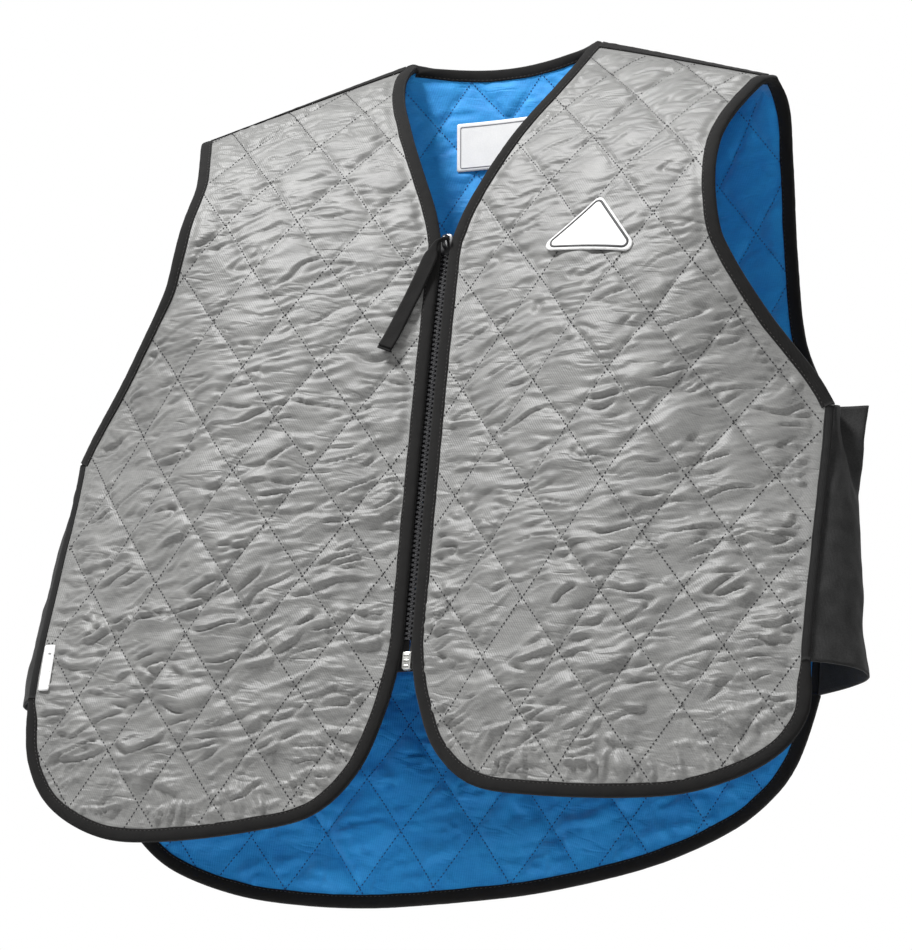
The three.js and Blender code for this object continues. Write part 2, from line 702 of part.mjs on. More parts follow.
// Slider: two plates round the teeth, joined by a post above them, with a bridge for the ribbon
function zipSlider() {
  const top = zipTop + sliderLength * 0.65;
  const foot = top - sliderLength;
  const half = chainThickness / 2 + sliderClear;
  const outline = new THREE.Shape([
    new THREE.Vector2(-sliderNose, foot), new THREE.Vector2(sliderNose, foot),
    new THREE.Vector2(sliderHalfWidth, zipTop + 1), new THREE.Vector2(sliderHalfWidth * 0.8, top),
    new THREE.Vector2(-sliderHalfWidth * 0.8, top), new THREE.Vector2(-sliderHalfWidth, zipTop + 1),
  ]);
  const plate = (h) => toManifoldFlat(
    new THREE.ExtrudeGeometry(outline, { depth: sliderPlate, bevelEnabled: false }).translate(0, 0, h),
  );
  const postHeight = top - zipTop - gap;
  const post = solidBox(2.6, postHeight, 2 * half + sliderPlate, 0, zipTop + gap + postHeight / 2, chainMiddle);
  const face = chainMiddle + half + sliderPlate;
  const bridgeLength = sliderLength * 0.5;
  const bridge = solidBox(2.2, bridgeLength, bridgeHeight + 0.5, 0, bridgeMiddle, face + bridgeHeight / 2 - 0.25)
    .subtract(solidBox(4, bridgeLength - 2 * bridgeWall, bridgeHeight - bridgeWall, 0, bridgeMiddle, face + (bridgeHeight - bridgeWall) / 2));
  const solid = plate(chainMiddle + half).add(plate(chainMiddle - half - sliderPlate)).add(post).add(bridge);
  return wrapped(solid);
}

// Box at the foot of the zip, with a wider rim
function zipBox() {
  const top = zipFoot + boxHeight * 0.15;
  const body = solidBox(2 * boxHalfWidth, boxHeight, chainThickness + 1, 0, top - boxHeight / 2, chainMiddle);
  const window = solidBox(2, boxHeight * 0.3, chainThickness + 3, boxHalfWidth * 0.4, top - boxHeight * 0.45, chainMiddle);
  return wrapped(body.subtract(window));
}

// Ribbon passed sideways through the slider's bridge, doubled, lying over the wearer's right front.
// Shares of ribbonAcross and ribbonLength from the bridge, heights above the mid surface in shares of
// the resting height, widths in shares of ribbonWidth.
const ribbonCourse = [
  { across: -0.08, down: 0,    height: 0.68, width: 0.3 },
  { across: 0.05,  down: 0,    height: 0.74, width: 0.3 },
  { across: 0.17,  down: 0.06, height: 1.05, width: 0.6 },
  { across: 0.25,  down: 0.22, height: 1.05, width: 1 },
  { across: 0.6,   down: 0.6,  height: 1.1,  width: 1 },
  { across: 1,     down: 1,    height: 1,    width: 1 },
];
const bridgeMiddle = zipTop + sliderLength * 0.2;
function pullRibbon(panel) {
  const rest = puffOutside + gap;
  const places = ribbonCourse.map((row) => new THREE.Vector2(
    -row.across * ribbonAcross, bridgeMiddle - row.down * ribbonLength,
  ));
  const rings = ribbonCourse.map((row, i) => {
    const before = places[Math.max(0, i - 1)];
    const after = places[Math.min(places.length - 1, i + 1)];
    const along = after.clone().sub(before).normalize();
    const half = new THREE.Vector2(along.y, -along.x).multiplyScalar(row.width * ribbonWidth / 2);
    const low = row.height * rest;
    return [[1, low], [-1, low], [-1, low + ribbonThickness], [1, low + ribbonThickness]].map(([way, h]) => {
      const place = places[i].clone().addScaledVector(half, way);
      return onPanel(panel, place.x, place.y, h);
    });
  });
  return loft(rings, [[0, 0], [1, 0], [1, 1], [0, 1]]);
}

// A flat plate that rests on the highest puff below it. Its shape is drawn round its own middle.
const looks = 24;
function restingPlate(panel, face, shape, x, z, thickness) {
  const out = wallNormal(panel.wall, x, z).multiplyScalar(Math.sign(face.middle));
  const middle = onPanel(panel, x, z, 0);
  const up = new THREE.Vector3(0, 0, 1).addScaledVector(out, -out.z).normalize();
  const along = up.clone().cross(out);
  const box = new THREE.Box2().setFromPoints(shape.getPoints());
  const size = box.getSize(new THREE.Vector2());
  let highest = 0;
  for (let i = 0; i <= looks; i += 1) {
    for (let k = 0; k <= looks; k += 1) {
      const place = onFace(panel, face, x + size.x * (i / looks - 0.5), z + size.y * (k / looks - 0.5));
      highest = Math.max(highest, place.sub(middle).dot(out));
    }
  }
  const plate = new THREE.ExtrudeGeometry(shape, { depth: thickness, bevelEnabled: false, curveSegments: 3 });
  const seat = middle.addScaledVector(out, highest + gap);
  plate.applyMatrix4(new THREE.Matrix4().makeBasis(along, up, out).setPosition(seat));
  plate.deleteAttribute('normal');
  plate.deleteAttribute('uv');
  return mergeVertices(plate, 1e-4);
}

// A small label tucked round the side binding
function sideTag(panel, side) {
  const low = bindingHalfSlot + bindingWall + gap;
  const left = sideLabelAcross - sideLabelWidth / 2;
  const section = [[left, low], [left + sideLabelWidth, low],
    [left + sideLabelWidth, low + labelWall], [left, low + labelWall]];
  const top = -sideLabelDown + sideLabelHeight / 2;
  const rings = straight([0, top], [0, top - sideLabelHeight], 3)
    .map(({ y }) => section.map(([x, h]) => onPanel(panel, side * x, y, h)));
  return loft(rings, section);
}

// Rounded triangle with its point up, turned by badgeTilt
function badgeShape() {
  const shape = new THREE.Shape();
  const corners = [[-badgeWidth / 2, -badgeHeight / 2], [badgeWidth / 2, -badgeHeight / 2], [0, badgeHeight / 2]]
    .map(([x, z]) => new THREE.Vector2(x, z).rotateAround(new THREE.Vector2(), badgeTilt));
  corners.forEach((corner, i) => {
    const toward = (other) => other.clone().sub(corner).normalize().multiplyScalar(badgeCorner).add(corner);
    const start = toward(corners[(i + 2) % 3]);
    const end = toward(corners[(i + 1) % 3]);
    if (i === 0) shape.moveTo(start.x, start.y);
    else shape.lineTo(start.x, start.y);
    shape.quadraticCurveTo(corner.x, corner.y, end.x, end.y);
  });
  shape.closePath();
  return shape;
}

// Materials
function material(color, roughness, metalness = 0) {
  return new THREE.MeshStandardMaterial({ color, roughness, metalness });
}
const shellCloth = material(0x9c9a95, 0.55);
const liningCloth = material(0x1f74c4, 0.7);
const bindingCloth = material(0x1f1b1a, 0.75);
const stretchCloth = material(0x1a1919, 0.85);
const zipPlastic = material(0x151515, 0.35);
const sliderMetal = material(0x1c1c1e, 0.3, 0.6);
const boxMetal = material(0xb9b9b6, 0.35, 0.6);
const labelCloth = material(0xe9e9e6, 0.7);

const vest = new THREE.Group();
function addPiece(name, geometry, finish) {
  geometry.computeVertexNormals();
  const mesh = new THREE.Mesh(geometry, finish);
  mesh.name = name;
  vest.add(mesh);
}

const sides = [{ name: 'left', side: 1 }, { name: 'right', side: -1 }];

// A stitch crossing on each panel, from which its quilting is set out
const quiltAnchors = {
  left: { x: 51, z: -325 },
  right: { x: -75, z: -338 },
  back: { x: -12.5, z: -523 },
};

const backPanel = makePanel(back, backOutline, quiltAnchors.back);
addPiece('back_shell', quiltPly(backPanel, meetingFace(1), outerFace), shellCloth);
addPiece('back_lining', quiltPly(backPanel, innerFace, meetingFace(-1)), liningCloth);

for (const { name, side } of sides) {
  const outline = side > 0 ? frontOutline(side) : mirrored(frontOutline(side));
  const panel = makePanel(front, outline, quiltAnchors[name]);
  addPiece(`front_panel_${name}`, quiltPly(panel, innerFace, outerFace), shellCloth);

  const frontPath = withoutRepeats([...vNeck, ...zipEdge, ...frontHem(side)]);
  const fromNeck = [ridgeStation(neckHalfWidth, 1, -gap / 2), ...edgeStations(belowRidge(frontPath), panel)];
  addPiece(`binding_front_${name}`, tape(fromNeck, side, bindingWidth), bindingCloth);

  const armhole = [
    ...edgeStations(belowRidge(frontArmhole).reverse(), panel),
    ridgeStation(shoulderHalfWidth, -1),
    ...edgeStations(belowRidge(backArmhole).reverse(), backPanel).reverse(),
  ];
  addPiece(`binding_armhole_${name}`, tape(armhole, side, bindingWidth), bindingCloth);
  addPiece(`shoulder_seam_${name}`, shoulderStrip(side), bindingCloth);

  const frontSeam = edgeStations(frontSideEdge(side).slice(1, -1), panel);
  const backSeam = edgeStations(backSideEdge.slice(1, -1), backPanel);
  addPiece(`side_seam_front_${name}`, tape(frontSeam, side, seamStripWidth), stretchCloth);
  addPiece(`side_seam_back_${name}`, tape(backSeam, side, seamStripWidth), stretchCloth);
  addPiece(`side_band_${name}`, sideBand(side), stretchCloth);

  addPiece(`zip_tape_${name}`, zipTape(side, panel), stretchCloth);
  addPiece(`zip_teeth_${name}`, zipTeeth(side), zipPlastic);
  if (side > 0) {
    const badge = restingPlate(panel, outerFace, badgeShape(), badgeAcross, -badgeDown, badgeWall);
    addPiece('chest_badge', badge, labelCloth);
  } else {
    addPiece('side_label', sideTag(panel, side), labelCloth);
    addPiece('zip_pull_ribbon', pullRibbon(panel), bindingCloth);
  }
}

const neckHalf = belowRidge(backNeck);
const backNeckPath = [...neckHalf, ...mirrored(neckHalf).reverse().slice(1)];
addPiece('binding_back_neck', tape([
  ridgeStation(neckHalfWidth, 1, gap / 2),
  ...edgeStations(backNeckPath, backPanel),
  ridgeStation(-neckHalfWidth, -1, gap / 2),
], 1, bindingWidth), bindingCloth);
const backHemPath = [...mirrored(backHem(-1)), ...backHem(1).reverse().slice(1)];
addPiece('binding_back_hem', tape(edgeStations(backHemPath, backPanel), 1, bindingWidth), bindingCloth);

const [labelX, labelZ] = [neckLabelWidth / 2, neckLabelHeight / 2];
const neckLabel = new THREE.Shape([
  new THREE.Vector2(-labelX, -labelZ), new THREE.Vector2(labelX, -labelZ),
  new THREE.Vector2(labelX, labelZ), new THREE.Vector2(-labelX, labelZ),
]);
addPiece('neck_label', restingPlate(backPanel, innerFace, neckLabel, 0, -neckLabelDown, labelWall), labelCloth);

addPiece('zip_slider', zipSlider(), sliderMetal);
addPiece('zip_box', zipBox(), boxMetal);

export default vest;
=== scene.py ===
import math
import bpy
import numpy as np
from mathutils import Matrix, Vector
from mathutils.geometry import delaunay_2d_cdt


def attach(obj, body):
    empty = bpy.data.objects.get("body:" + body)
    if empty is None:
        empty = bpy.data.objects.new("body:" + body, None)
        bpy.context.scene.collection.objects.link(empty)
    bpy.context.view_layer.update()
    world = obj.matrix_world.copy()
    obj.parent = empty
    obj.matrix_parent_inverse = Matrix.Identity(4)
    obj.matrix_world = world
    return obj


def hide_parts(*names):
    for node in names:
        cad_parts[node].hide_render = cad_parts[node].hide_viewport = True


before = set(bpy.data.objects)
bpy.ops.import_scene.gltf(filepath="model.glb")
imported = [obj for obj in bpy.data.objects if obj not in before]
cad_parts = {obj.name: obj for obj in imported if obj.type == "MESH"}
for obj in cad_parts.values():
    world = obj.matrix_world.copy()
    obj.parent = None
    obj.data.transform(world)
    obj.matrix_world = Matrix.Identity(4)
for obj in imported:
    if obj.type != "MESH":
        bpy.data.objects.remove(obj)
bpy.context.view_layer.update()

# Cooling vest around its CAD frame. The pattern is worked in millimetres: x across, z up, h out of
# the cloth. The front faces -Y, and the wearer's left is +X.
vest = {
    "halfWidth": 266, "frontLength": 576, "backLength": 608, "frontReach": 125, "backReach": 42,
    "neckHalf": 67, "neckBehind": 10, "vDepth": 176, "vGap": 4.4, "backNeckDrop": 7,
    "shoulderHalf": 212, "shoulderDrop": 56, "shoulderSweep": 38, "ridgeRounding": 40,
    "ridgeTurn": 10, "softNeck": 3, "softTip": 9, "softReach": 20,
    "frontArmhole": 253, "backArmhole": 239, "gusset": 177,
    "hemUneven": 9, "hemTilt": 16, "cornerOut": 20, "zipLength": 294, "zipHalfGap": 3.75, "ridgeGap": 0.2,
    "mm": 0.001,
}

# How far the front stands forward and the back stands back: share of the length down, then shares of
# the reach at the centre, quarter, half, outer quarter and side.
frontTable = [
    (0, 0, 0, 0, 0, 0), (0.043, 0.16, 0.17, 0.17, 0.16, 0.10), (0.104, 0.35, 0.36, 0.36, 0.34, 0.16),
    (0.19, 0.57, 0.57, 0.56, 0.51, 0.16), (0.295, 0.71, 0.71, 0.68, 0.51, 0.15),
    (0.417, 0.79, 0.79, 0.75, 0.50, 0.17), (0.556, 0.85, 0.855, 0.81, 0.58, 0.33),
    (0.694, 0.90, 0.905, 0.84, 0.65, 0.48), (0.85, 0.95, 0.945, 0.85, 0.68, 0.51),
    (1.04, 1.00, 0.955, 0.83, 0.67, 0.51),
]
backTable = [
    (0, 0, 0, 0, 0, 0), (0.041, 0.07, 0.21, 0.33, 0.43, 0.43), (0.099, 0.19, 0.40, 0.67, 0.76, 0.71),
    (0.181, 0.33, 0.55, 0.86, 0.93, 0.79), (0.28, 0.43, 0.64, 0.93, 0.98, 0.79),
    (0.395, 0.42, 0.60, 0.86, 0.81, 0.52), (0.526, 0.29, 0.43, 0.62, 0.60, 0.43),
    (0.674, -0.02, 0.14, 0.33, 0.36, 0.36), (0.822, -0.36, -0.19, 0.05, 0.19, 0.29),
    (1.03, -0.71, -0.48, -0.17, 0.05, 0.24),
]
front = {"table": frontTable, "length": vest["frontLength"], "reach": -vest["frontReach"], "out": -1}
back = {"table": backTable, "length": vest["backLength"], "reach": vest["backReach"], "out": 1}


def throughKnots(knots, values, at):  # smooth curve, carried on straight past its ends
    knots, values = np.asarray(knots, float), np.asarray(values, float)
    last = len(knots) - 1
    order = np.arange(last + 1)
    low, high = np.maximum(order - 1, 0), np.minimum(order + 1, last)
    spans = (knots[high] - knots[low]).reshape(-1, *[1] * (values.ndim - 1))
    slopes = (values[high] - values[low]) / spans
    i = np.clip(np.searchsorted(knots, at, side="right") - 1, 0, last - 1)
    here = (i,) if values.ndim == 1 else (i, np.arange(len(at)))
    after = (i + 1, *here[1:])
    span = knots[i + 1] - knots[i]
    u = (at - knots[i]) / span
    c = np.clip(u, 0, 1)
    rise = c * c * (3 - 2 * c)
    inside = values[here] * (1 - rise) + values[after] * rise
    inside += span * c * (1 - c) * (slopes[here] * (1 - c) - slopes[after] * c)
    return inside + np.where(u < 0, slopes[here] * u * span, slopes[after] * np.maximum(u - 1, 0) * span)


def ridgeFall(x):  # 0 at the neck, 1 at the shoulder end
    rounding = vest["ridgeRounding"]
    neck, end = math.hypot(vest["neckHalf"], rounding), math.hypot(vest["shoulderHalf"], rounding)
    return (np.hypot(x, rounding) - neck) / (end - neck)


def ridgeHeight(x):
    return -vest["shoulderDrop"] * ridgeFall(x)


def ridgeDepth(x):
    return vest["neckBehind"] - vest["shoulderSweep"] * ridgeFall(x)


def wallDepth(wall, x, z):
    across = np.abs(x) / vest["halfWidth"]
    rows = [throughKnots([-0.25, 0, 0.25, 0.5, 0.75, 1], [row[2], *row[1:]], across) for row in wall["table"]]
    down = (ridgeHeight(x) - z) / wall["length"]
    return ridgeDepth(x) + wall["reach"] * throughKnots([row[0] for row in wall["table"]], rows, down)


def plainOut(wall, x, z):
    slopeX = (wallDepth(wall, x + 1, z) - wallDepth(wall, x - 1, z)) / 2
    slopeZ = (wallDepth(wall, x, z + 1) - wallDepth(wall, x, z - 1)) / 2
    out = np.stack([-slopeX, np.ones_like(slopeX), -slopeZ], axis=1) * wall["out"]
    return out / np.linalg.norm(out, axis=1, keepdims=True)


def ridgeOut(x):  # mitre between the two walls
    a, b = plainOut(front, x, ridgeHeight(x)), plainOut(back, x, ridgeHeight(x))
    return (a + b) / (1 + (a * b).sum(axis=1, keepdims=True))


def wallPoints(wall, x, z, h):  # places h outside the mid surface, turning over the ridge smoothly
    x, z, h = (np.asarray(v, float) for v in np.broadcast_arrays(x, z, h))
    turn = np.clip(1 - (ridgeHeight(x) - z) / vest["ridgeTurn"], 0, 1)[:, None] ** 2
    out = plainOut(wall, x, z)
    if turn.any():
        out = out * (1 - turn) + ridgeOut(x) * turn
    across = np.clip((np.abs(x) - vest["neckHalf"]) / (vest["shoulderHalf"] - vest["neckHalf"]), 0, 1)
    near = np.clip(1 - (ridgeHeight(x) - z) / vest["softReach"], 0, 1)  # the ridge is rounded, not sharp
    fall = (vest["softNeck"] + (vest["softTip"] - vest["softNeck"]) * across) * near**2
    return np.stack([x, wallDepth(wall, x, z), z - fall], axis=1) + out * h[:, None]


# Smooth noise on a grid of ones, the same in every run
def cellValue(i, j, seed):
    n = (i.astype(np.int64) * 374761393 + j.astype(np.int64) * 668265263 + seed * 974634777) & 0xFFFFFFFF
    n = ((n ^ (n >> 13)) * 1274126177) & 0xFFFFFFFF
    return ((n ^ (n >> 16)) & 0xFFFFFF) / 0xFFFFFF


def ripple(x, y, seed):
    i, j = np.floor(x), np.floor(y)
    fx, fy = x - i, y - j
    u, v = fx * fx * fx * (fx * (fx * 6 - 15) + 10), fy * fy * fy * (fy * (fy * 6 - 15) + 10)

    def corner(di, dj):
        angle = 2 * math.pi * cellValue(i + di, j + dj, seed)
        return np.cos(angle) * (fx - di) + np.sin(angle) * (fy - dj)

    low = corner(0, 0) * (1 - u) + corner(1, 0) * u
    high = corner(0, 1) * (1 - u) + corner(1, 1) * u
    return 1.6 * (low * (1 - v) + high * v)


def ramp(value, low, high):
    t = np.clip((value - low) / (high - low), 0, 1)
    return t * t * (3 - 2 * t)


# Pattern edges
def evenly(line, step):
    along = np.concatenate([[0], np.cumsum(np.linalg.norm(np.diff(line, axis=0), axis=1))])
    at = np.linspace(0, along[-1], max(1, round(along[-1] / step)) + 1)
    return np.stack([np.interp(at, along, line[:, k]) for k in range(line.shape[1])], axis=1)


def edgeLine(points, step=2.5):
    pts = np.array(points, float)
    ends = np.vstack([pts[:1], pts, pts[-1:]])
    t = np.linspace(0, 1, 30, endpoint=False)[:, None]
    fine = []
    for i in range(len(pts) - 1):
        p0, p1, p2, p3 = ends[i:i + 4]
        v0, v1 = (p2 - p0) / 2, (p3 - p1) / 2
        fine.append((2 * p1 - 2 * p2 + v0 + v1) * t**3 + (3 * p2 - 3 * p1 - 2 * v0 - v1) * t**2 + v0 * t + p1)
    return evenly(np.vstack([*fine, pts[-1:]]), step)


zipTop = -vest["vDepth"]
zipFoot = zipTop - vest["zipLength"]
underarmFront = -vest["shoulderDrop"] - vest["frontArmhole"]
underarmBack = -vest["shoulderDrop"] - vest["backArmhole"]
gussetFoot = underarmFront - vest["gusset"]
sideReach = vest["halfWidth"] - vest["shoulderHalf"]

neckLine = edgeLine([(u * vest["neckHalf"], -v * vest["vDepth"]) for u, v in [
    (1, 0), (0.97, 0.14), (0.84, 0.29), (0.67, 0.43), (0.37, 0.68), (0.17, 0.86),
    (vest["vGap"] / vest["neckHalf"], 1)]])
backNeckLine = edgeLine([(u * vest["neckHalf"], -v * vest["backNeckDrop"]) for u, v in [
    (1, 0), (0.78, 0.36), (0.5, 0.72), (0.25, 0.93), (0.08, 0.995), (0, 1)]])
armholeFront = edgeLine([
    (vest["shoulderHalf"] + u * sideReach, -vest["shoulderDrop"] - v * vest["frontArmhole"])
    for u, v in [(0, 0), (-0.34, 0.19), (-0.41, 0.31), (-0.32, 0.51), (-0.16, 0.61), (0.28, 0.77),
                 (0.79, 0.92), (1, 1)]])
armholeBack = edgeLine([(vest["shoulderHalf"] + u * sideReach, -vest["shoulderDrop"] - v * vest["backArmhole"])
    for u, v in [(0, 0), (0.08, 0.1), (0.06, 0.24), (0.1, 0.5), (0.26, 0.77), (0.74, 1)]])


def hemFront(side):
    points = []
    for u, v in [(0.018, 0), (0.043, 0.285), (0.098, 0.625), (0.2, 0.866), (0.36, 0.957), (0.59, 1),
                 (0.76, 0.954), (0.905, 0.745), (0.98, 0.42), (1, 0)]:
        start = zipFoot + (gussetFoot - zipFoot) * u
        out = vest["cornerOut"] * max(side, 0) * v * (1 - v) * (u > 0.8)
        fall = vest["frontLength"] + start - side * vest["hemUneven"]
        points.append((u * vest["halfWidth"] + out, start - v * fall))
    return edgeLine(points)


def hemBack(side):
    points = []
    for u, v in [(0.935, 0), (0.912, 0.2), (0.88, 0.4), (0.83, 0.56), (0.73, 0.73), (0.56, 0.87), (0.37, 0.95),
                 (0.19, 0.99), (0, 1)]:
        fall = vest["backLength"] + gussetFoot - side * vest["hemTilt"] * u
        points.append((u * vest["halfWidth"], gussetFoot - v * fall))
    return edgeLine(points)


def straightLine(start, end, step=2.5):
    return evenly(np.array([start, end], float), step)


def joined(*lines):  # one line, without the repeated points where two meet
    line = np.vstack(lines)
    keep = np.concatenate([[True], np.linalg.norm(np.diff(line, axis=0), axis=1) > 0.4])
    return line[keep]


def mirrored(line):
    return line * [-1, 1]


def frontEdge(side):  # neck down the V and the zip, round the hem to the foot of the side seam
    zipEdge = straightLine((vest["zipHalfGap"], zipTop - 0.05 * vest["zipLength"]),
                           (vest["zipHalfGap"], zipFoot + 0.03 * vest["zipLength"]))
    return joined(neckLine, zipEdge, hemFront(side))


def frontSide(side):
    return straightLine(frontEdge(side)[-1], (vest["halfWidth"], underarmFront))


backSide = straightLine(hemBack(1)[0], armholeBack[-1])


def ridgeLine(low, high, step=2.5):
    x = np.linspace(low, high, max(2, round(abs(high - low) / step)) + 1)
    return np.stack([x, ridgeHeight(x) - vest["ridgeGap"]], axis=1)


def frontLoop(side):
    ridge = ridgeLine(vest["shoulderHalf"], vest["neckHalf"])
    return joined(frontEdge(side), frontSide(side), armholeFront[::-1], ridge)[:-1]


def backLoop():
    halves = []
    for side in (1, -1):
        half = joined(backNeckLine[::-1], ridgeLine(vest["neckHalf"], vest["shoulderHalf"]), armholeBack,
                      backSide[::-1], hemBack(side))
        halves.append(half)
    return joined(halves[0][::-1], mirrored(halves[1]))[:-1]


def nearestEdge(loop, x, z):  # distance inside the loop, and the place along it
    a, b = loop, np.roll(loop, -1, axis=0)
    d = b - a
    length = np.linalg.norm(d, axis=1)
    start = np.concatenate([[0], np.cumsum(length)[:-1]])
    best, place = np.full(len(x), 1e9), np.zeros(len(x))
    inside = np.zeros(len(x), bool)
    for k in range(len(a)):
        t = np.clip(((x - a[k, 0]) * d[k, 0] + (z - a[k, 1]) * d[k, 1]) / length[k]**2, 0, 1)
        gone = np.hypot(x - a[k, 0] - t * d[k, 0], z - a[k, 1] - t * d[k, 1])
        nearer = gone < best
        best = np.where(nearer, gone, best)
        place = np.where(nearer, start[k] + t * length[k], place)
        crosses = (a[k, 1] > z) != (b[k, 1] > z)
        inside ^= crosses & (x < a[k, 0] + d[k, 0] * (z - a[k, 1]) / (d[k, 1] if d[k, 1] else 1))
    return np.where(inside, best, -best), place


# Mesh helpers
def addMesh(name, points, faces, material, cloth=None, smooth=True):
    mesh = bpy.data.meshes.new(name)
    mesh.from_pydata((np.asarray(points, float) * vest["mm"]).tolist(), [], faces)
    if cloth is not None:  # pattern place of every corner, in metres, for the weave
        layer = mesh.uv_layers.new(name="cloth")
        corners = np.empty(len(mesh.loops), np.int32)
        mesh.loops.foreach_get("vertex_index", corners)
        layer.data.foreach_set("uv", (np.asarray(cloth, float)[corners] * vest["mm"]).ravel())
    mesh.polygons.foreach_set("use_smooth", [smooth] * len(mesh.polygons))
    mesh.materials.append(material)
    mesh.update()
    piece = bpy.data.objects.new(name + "_piece", mesh)
    bpy.context.scene.collection.objects.link(piece)
    return piece


def settle(piece, slot, *nodes):
    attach(piece, "root")
    if nodes:
        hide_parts(*nodes)
    return piece


def ringFaces(rings, count):  # quads between rings of equal length
    faces = []
    for r in range(rings - 1):
        for k in range(count):
            a, b = r * count + k, r * count + (k + 1) % count
            faces.append((a, b, b + count, a + count))
    return faces


def closedRings(rings, count):  # the same with both end walls
    last = (rings - 1) * count
    return ringFaces(rings, count) + [tuple(range(count))[::-1], tuple(range(last, last + count))]


def leafFaces(rings, count):  # the same for a leaf of cloth, with its thin end walls in strips
    faces = ringFaces(rings, count)
    for base, turn in ((0, -1), ((rings - 1) * count, 1)):
        faces += [tuple((base + k, base + k + 1, base + count - 2 - k, base + count - 1 - k)[::turn])
                  for k in range(count // 2 - 1)]
    return faces


def facedOut(piece):  # turns a closed mesh to face outwards
    mesh = piece.data
    mesh.calc_loop_triangles()
    points = np.array([v.co for v in mesh.vertices])
    tris = np.array([t.vertices for t in mesh.loop_triangles])
    a, b, c = points[tris[:, 0]], points[tris[:, 1]], points[tris[:, 2]]
    if (a * np.cross(b, c)).sum() < 0:
        mesh.flip_normals()
    return piece


# Quilting: stitch lines run through a lattice of half diamonds
quilt = {
    "halfWide": 26.3, "halfHigh": 37.2, "lean": 1.1, "wobble": 1.0, "seam": 0.7, "valley": 2.6, "dome": 0.5,
    "edgeLow": 6.5, "edgeHigh": 16, "edgeHeight": 0.7, "least": 0.5, "rise": 0.17,
    "stitch": 2.8, "stitchGap": 0.55, "thread": 0.6, "hiddenUnder": 6.2, "offSeam": 1.1, "offEdge": 1.3,
    "backing": 0.12, "backingInside": 8,
    "shell": {"puff": 2.3, "broad": 2.0, "crease": 2.3, "tuck": 2.2, "fine": 0.32, "pucker": 1.7, "edge": 4.4,
              "stepX": 1.7, "stepZ": 1.25},
    "shellBack": {"puff": 2.3, "broad": 1.8, "crease": 1.8, "tuck": 1.9, "fine": 0.25, "pucker": 1.3,
                  "edge": 3.4, "stepX": 2.8, "stepZ": 1.8},
    "lining": {"puff": 2.4, "broad": 2.0, "crease": 1.8, "tuck": 1.6, "fine": 0.2, "pucker": 1.2, "edge": 2.0,
               "stepX": 3.0, "stepZ": 2.4},
}
# Folds in the cloth. A pair is the size of the noise across and down, in millimetres, and a pair whose
# name ends in From or Below holds the two ends of a ramp. A drift has its height first.
folds = {
    "drifts": [(9, 90, 75), (2.4, 22, 19)], "busy": (34, 19), "busyFrom": (-0.25, 0.35),
    "sagPitch": 12.5, "sagWander": 0.8, "sag": (46, 31), "sagTurn": 0.8, "sagCurve": 1.5, "sagMiddle": 0.4,
    "sagRun": (27, 60), "sagRunFrom": (-0.2, 0.3), "valley": (44, 12), "valleyRun": (38, 15),
    "valleyRunFrom": (-0.05, 0.35), "broad": (50, 21), "fine": (14, 3.7), "moreBelow": (140, 520),
    "sagApart": 3.3,
    "puckerPitch": 4.4, "puckerReach": 5.5, "puckerRise": 1.2, "puckerHigh": 1.6, "puckerApart": 3.7,
    "gatherPitch": 7.5, "gatherFrom": (5, 9), "gatherReach": 15, "gatherBelow": (250, 430),
}
quiltSide = math.hypot(quilt["halfWide"], quilt["halfHigh"])
quiltPitch = 2 * quilt["halfWide"] * quilt["halfHigh"] / quiltSide  # between neighbouring lines


def makePanel(wall, loop, anchor, seed):
    z = np.arange(30, -680, -1.0)
    depth = wallDepth(wall, np.full(len(z), vest["halfWidth"] / 2), z)
    along = np.concatenate([[0], np.cumsum(np.hypot(1, np.diff(depth)))])
    panel = {"wall": wall, "loop": loop, "seed": seed, "z": z, "along": along, "anchorX": anchor[0]}
    panel["anchorDown"] = clothDown(panel, np.array([anchor[1]]))[0]
    return panel


def clothDown(panel, z):
    return np.interp(-z, -panel["z"], panel["along"])


def lattice(panel, x, z):
    down = clothDown(panel, z) - panel["anchorDown"]
    shiftX = quilt["wobble"] * ripple(x / 63, down / 63, panel["seed"])
    shiftDown = quilt["wobble"] * ripple(x / 57, down / 57, panel["seed"] + 1)
    row = (down + shiftDown) / quilt["halfHigh"]
    column = (x + shiftX - panel["anchorX"] - quilt["lean"] * row) / quilt["halfWide"]
    return (column + row) / 2, (column - row) / 2


def latticePlace(panel, p, q):  # the way back
    row, column = p - q, p + q
    down = row * quilt["halfHigh"]
    x = column * quilt["halfWide"] + quilt["lean"] * row + panel["anchorX"]
    wantX, wantDown = x, down
    for _ in range(3):
        x = wantX - quilt["wobble"] * ripple(x / 63, down / 63, panel["seed"])
        down = wantDown - quilt["wobble"] * ripple(x / 57, down / 57, panel["seed"] + 1)
    return x, np.interp(down + panel["anchorDown"], panel["along"], panel["z"])


def puckers(level, line, near, seed):  # short folds that end at a row of stitches
    fold = ripple(level / folds["puckerPitch"], line, seed)
    return fold * np.exp(-near / folds["puckerReach"]) * (1 - np.exp(-near / folds["puckerRise"]))


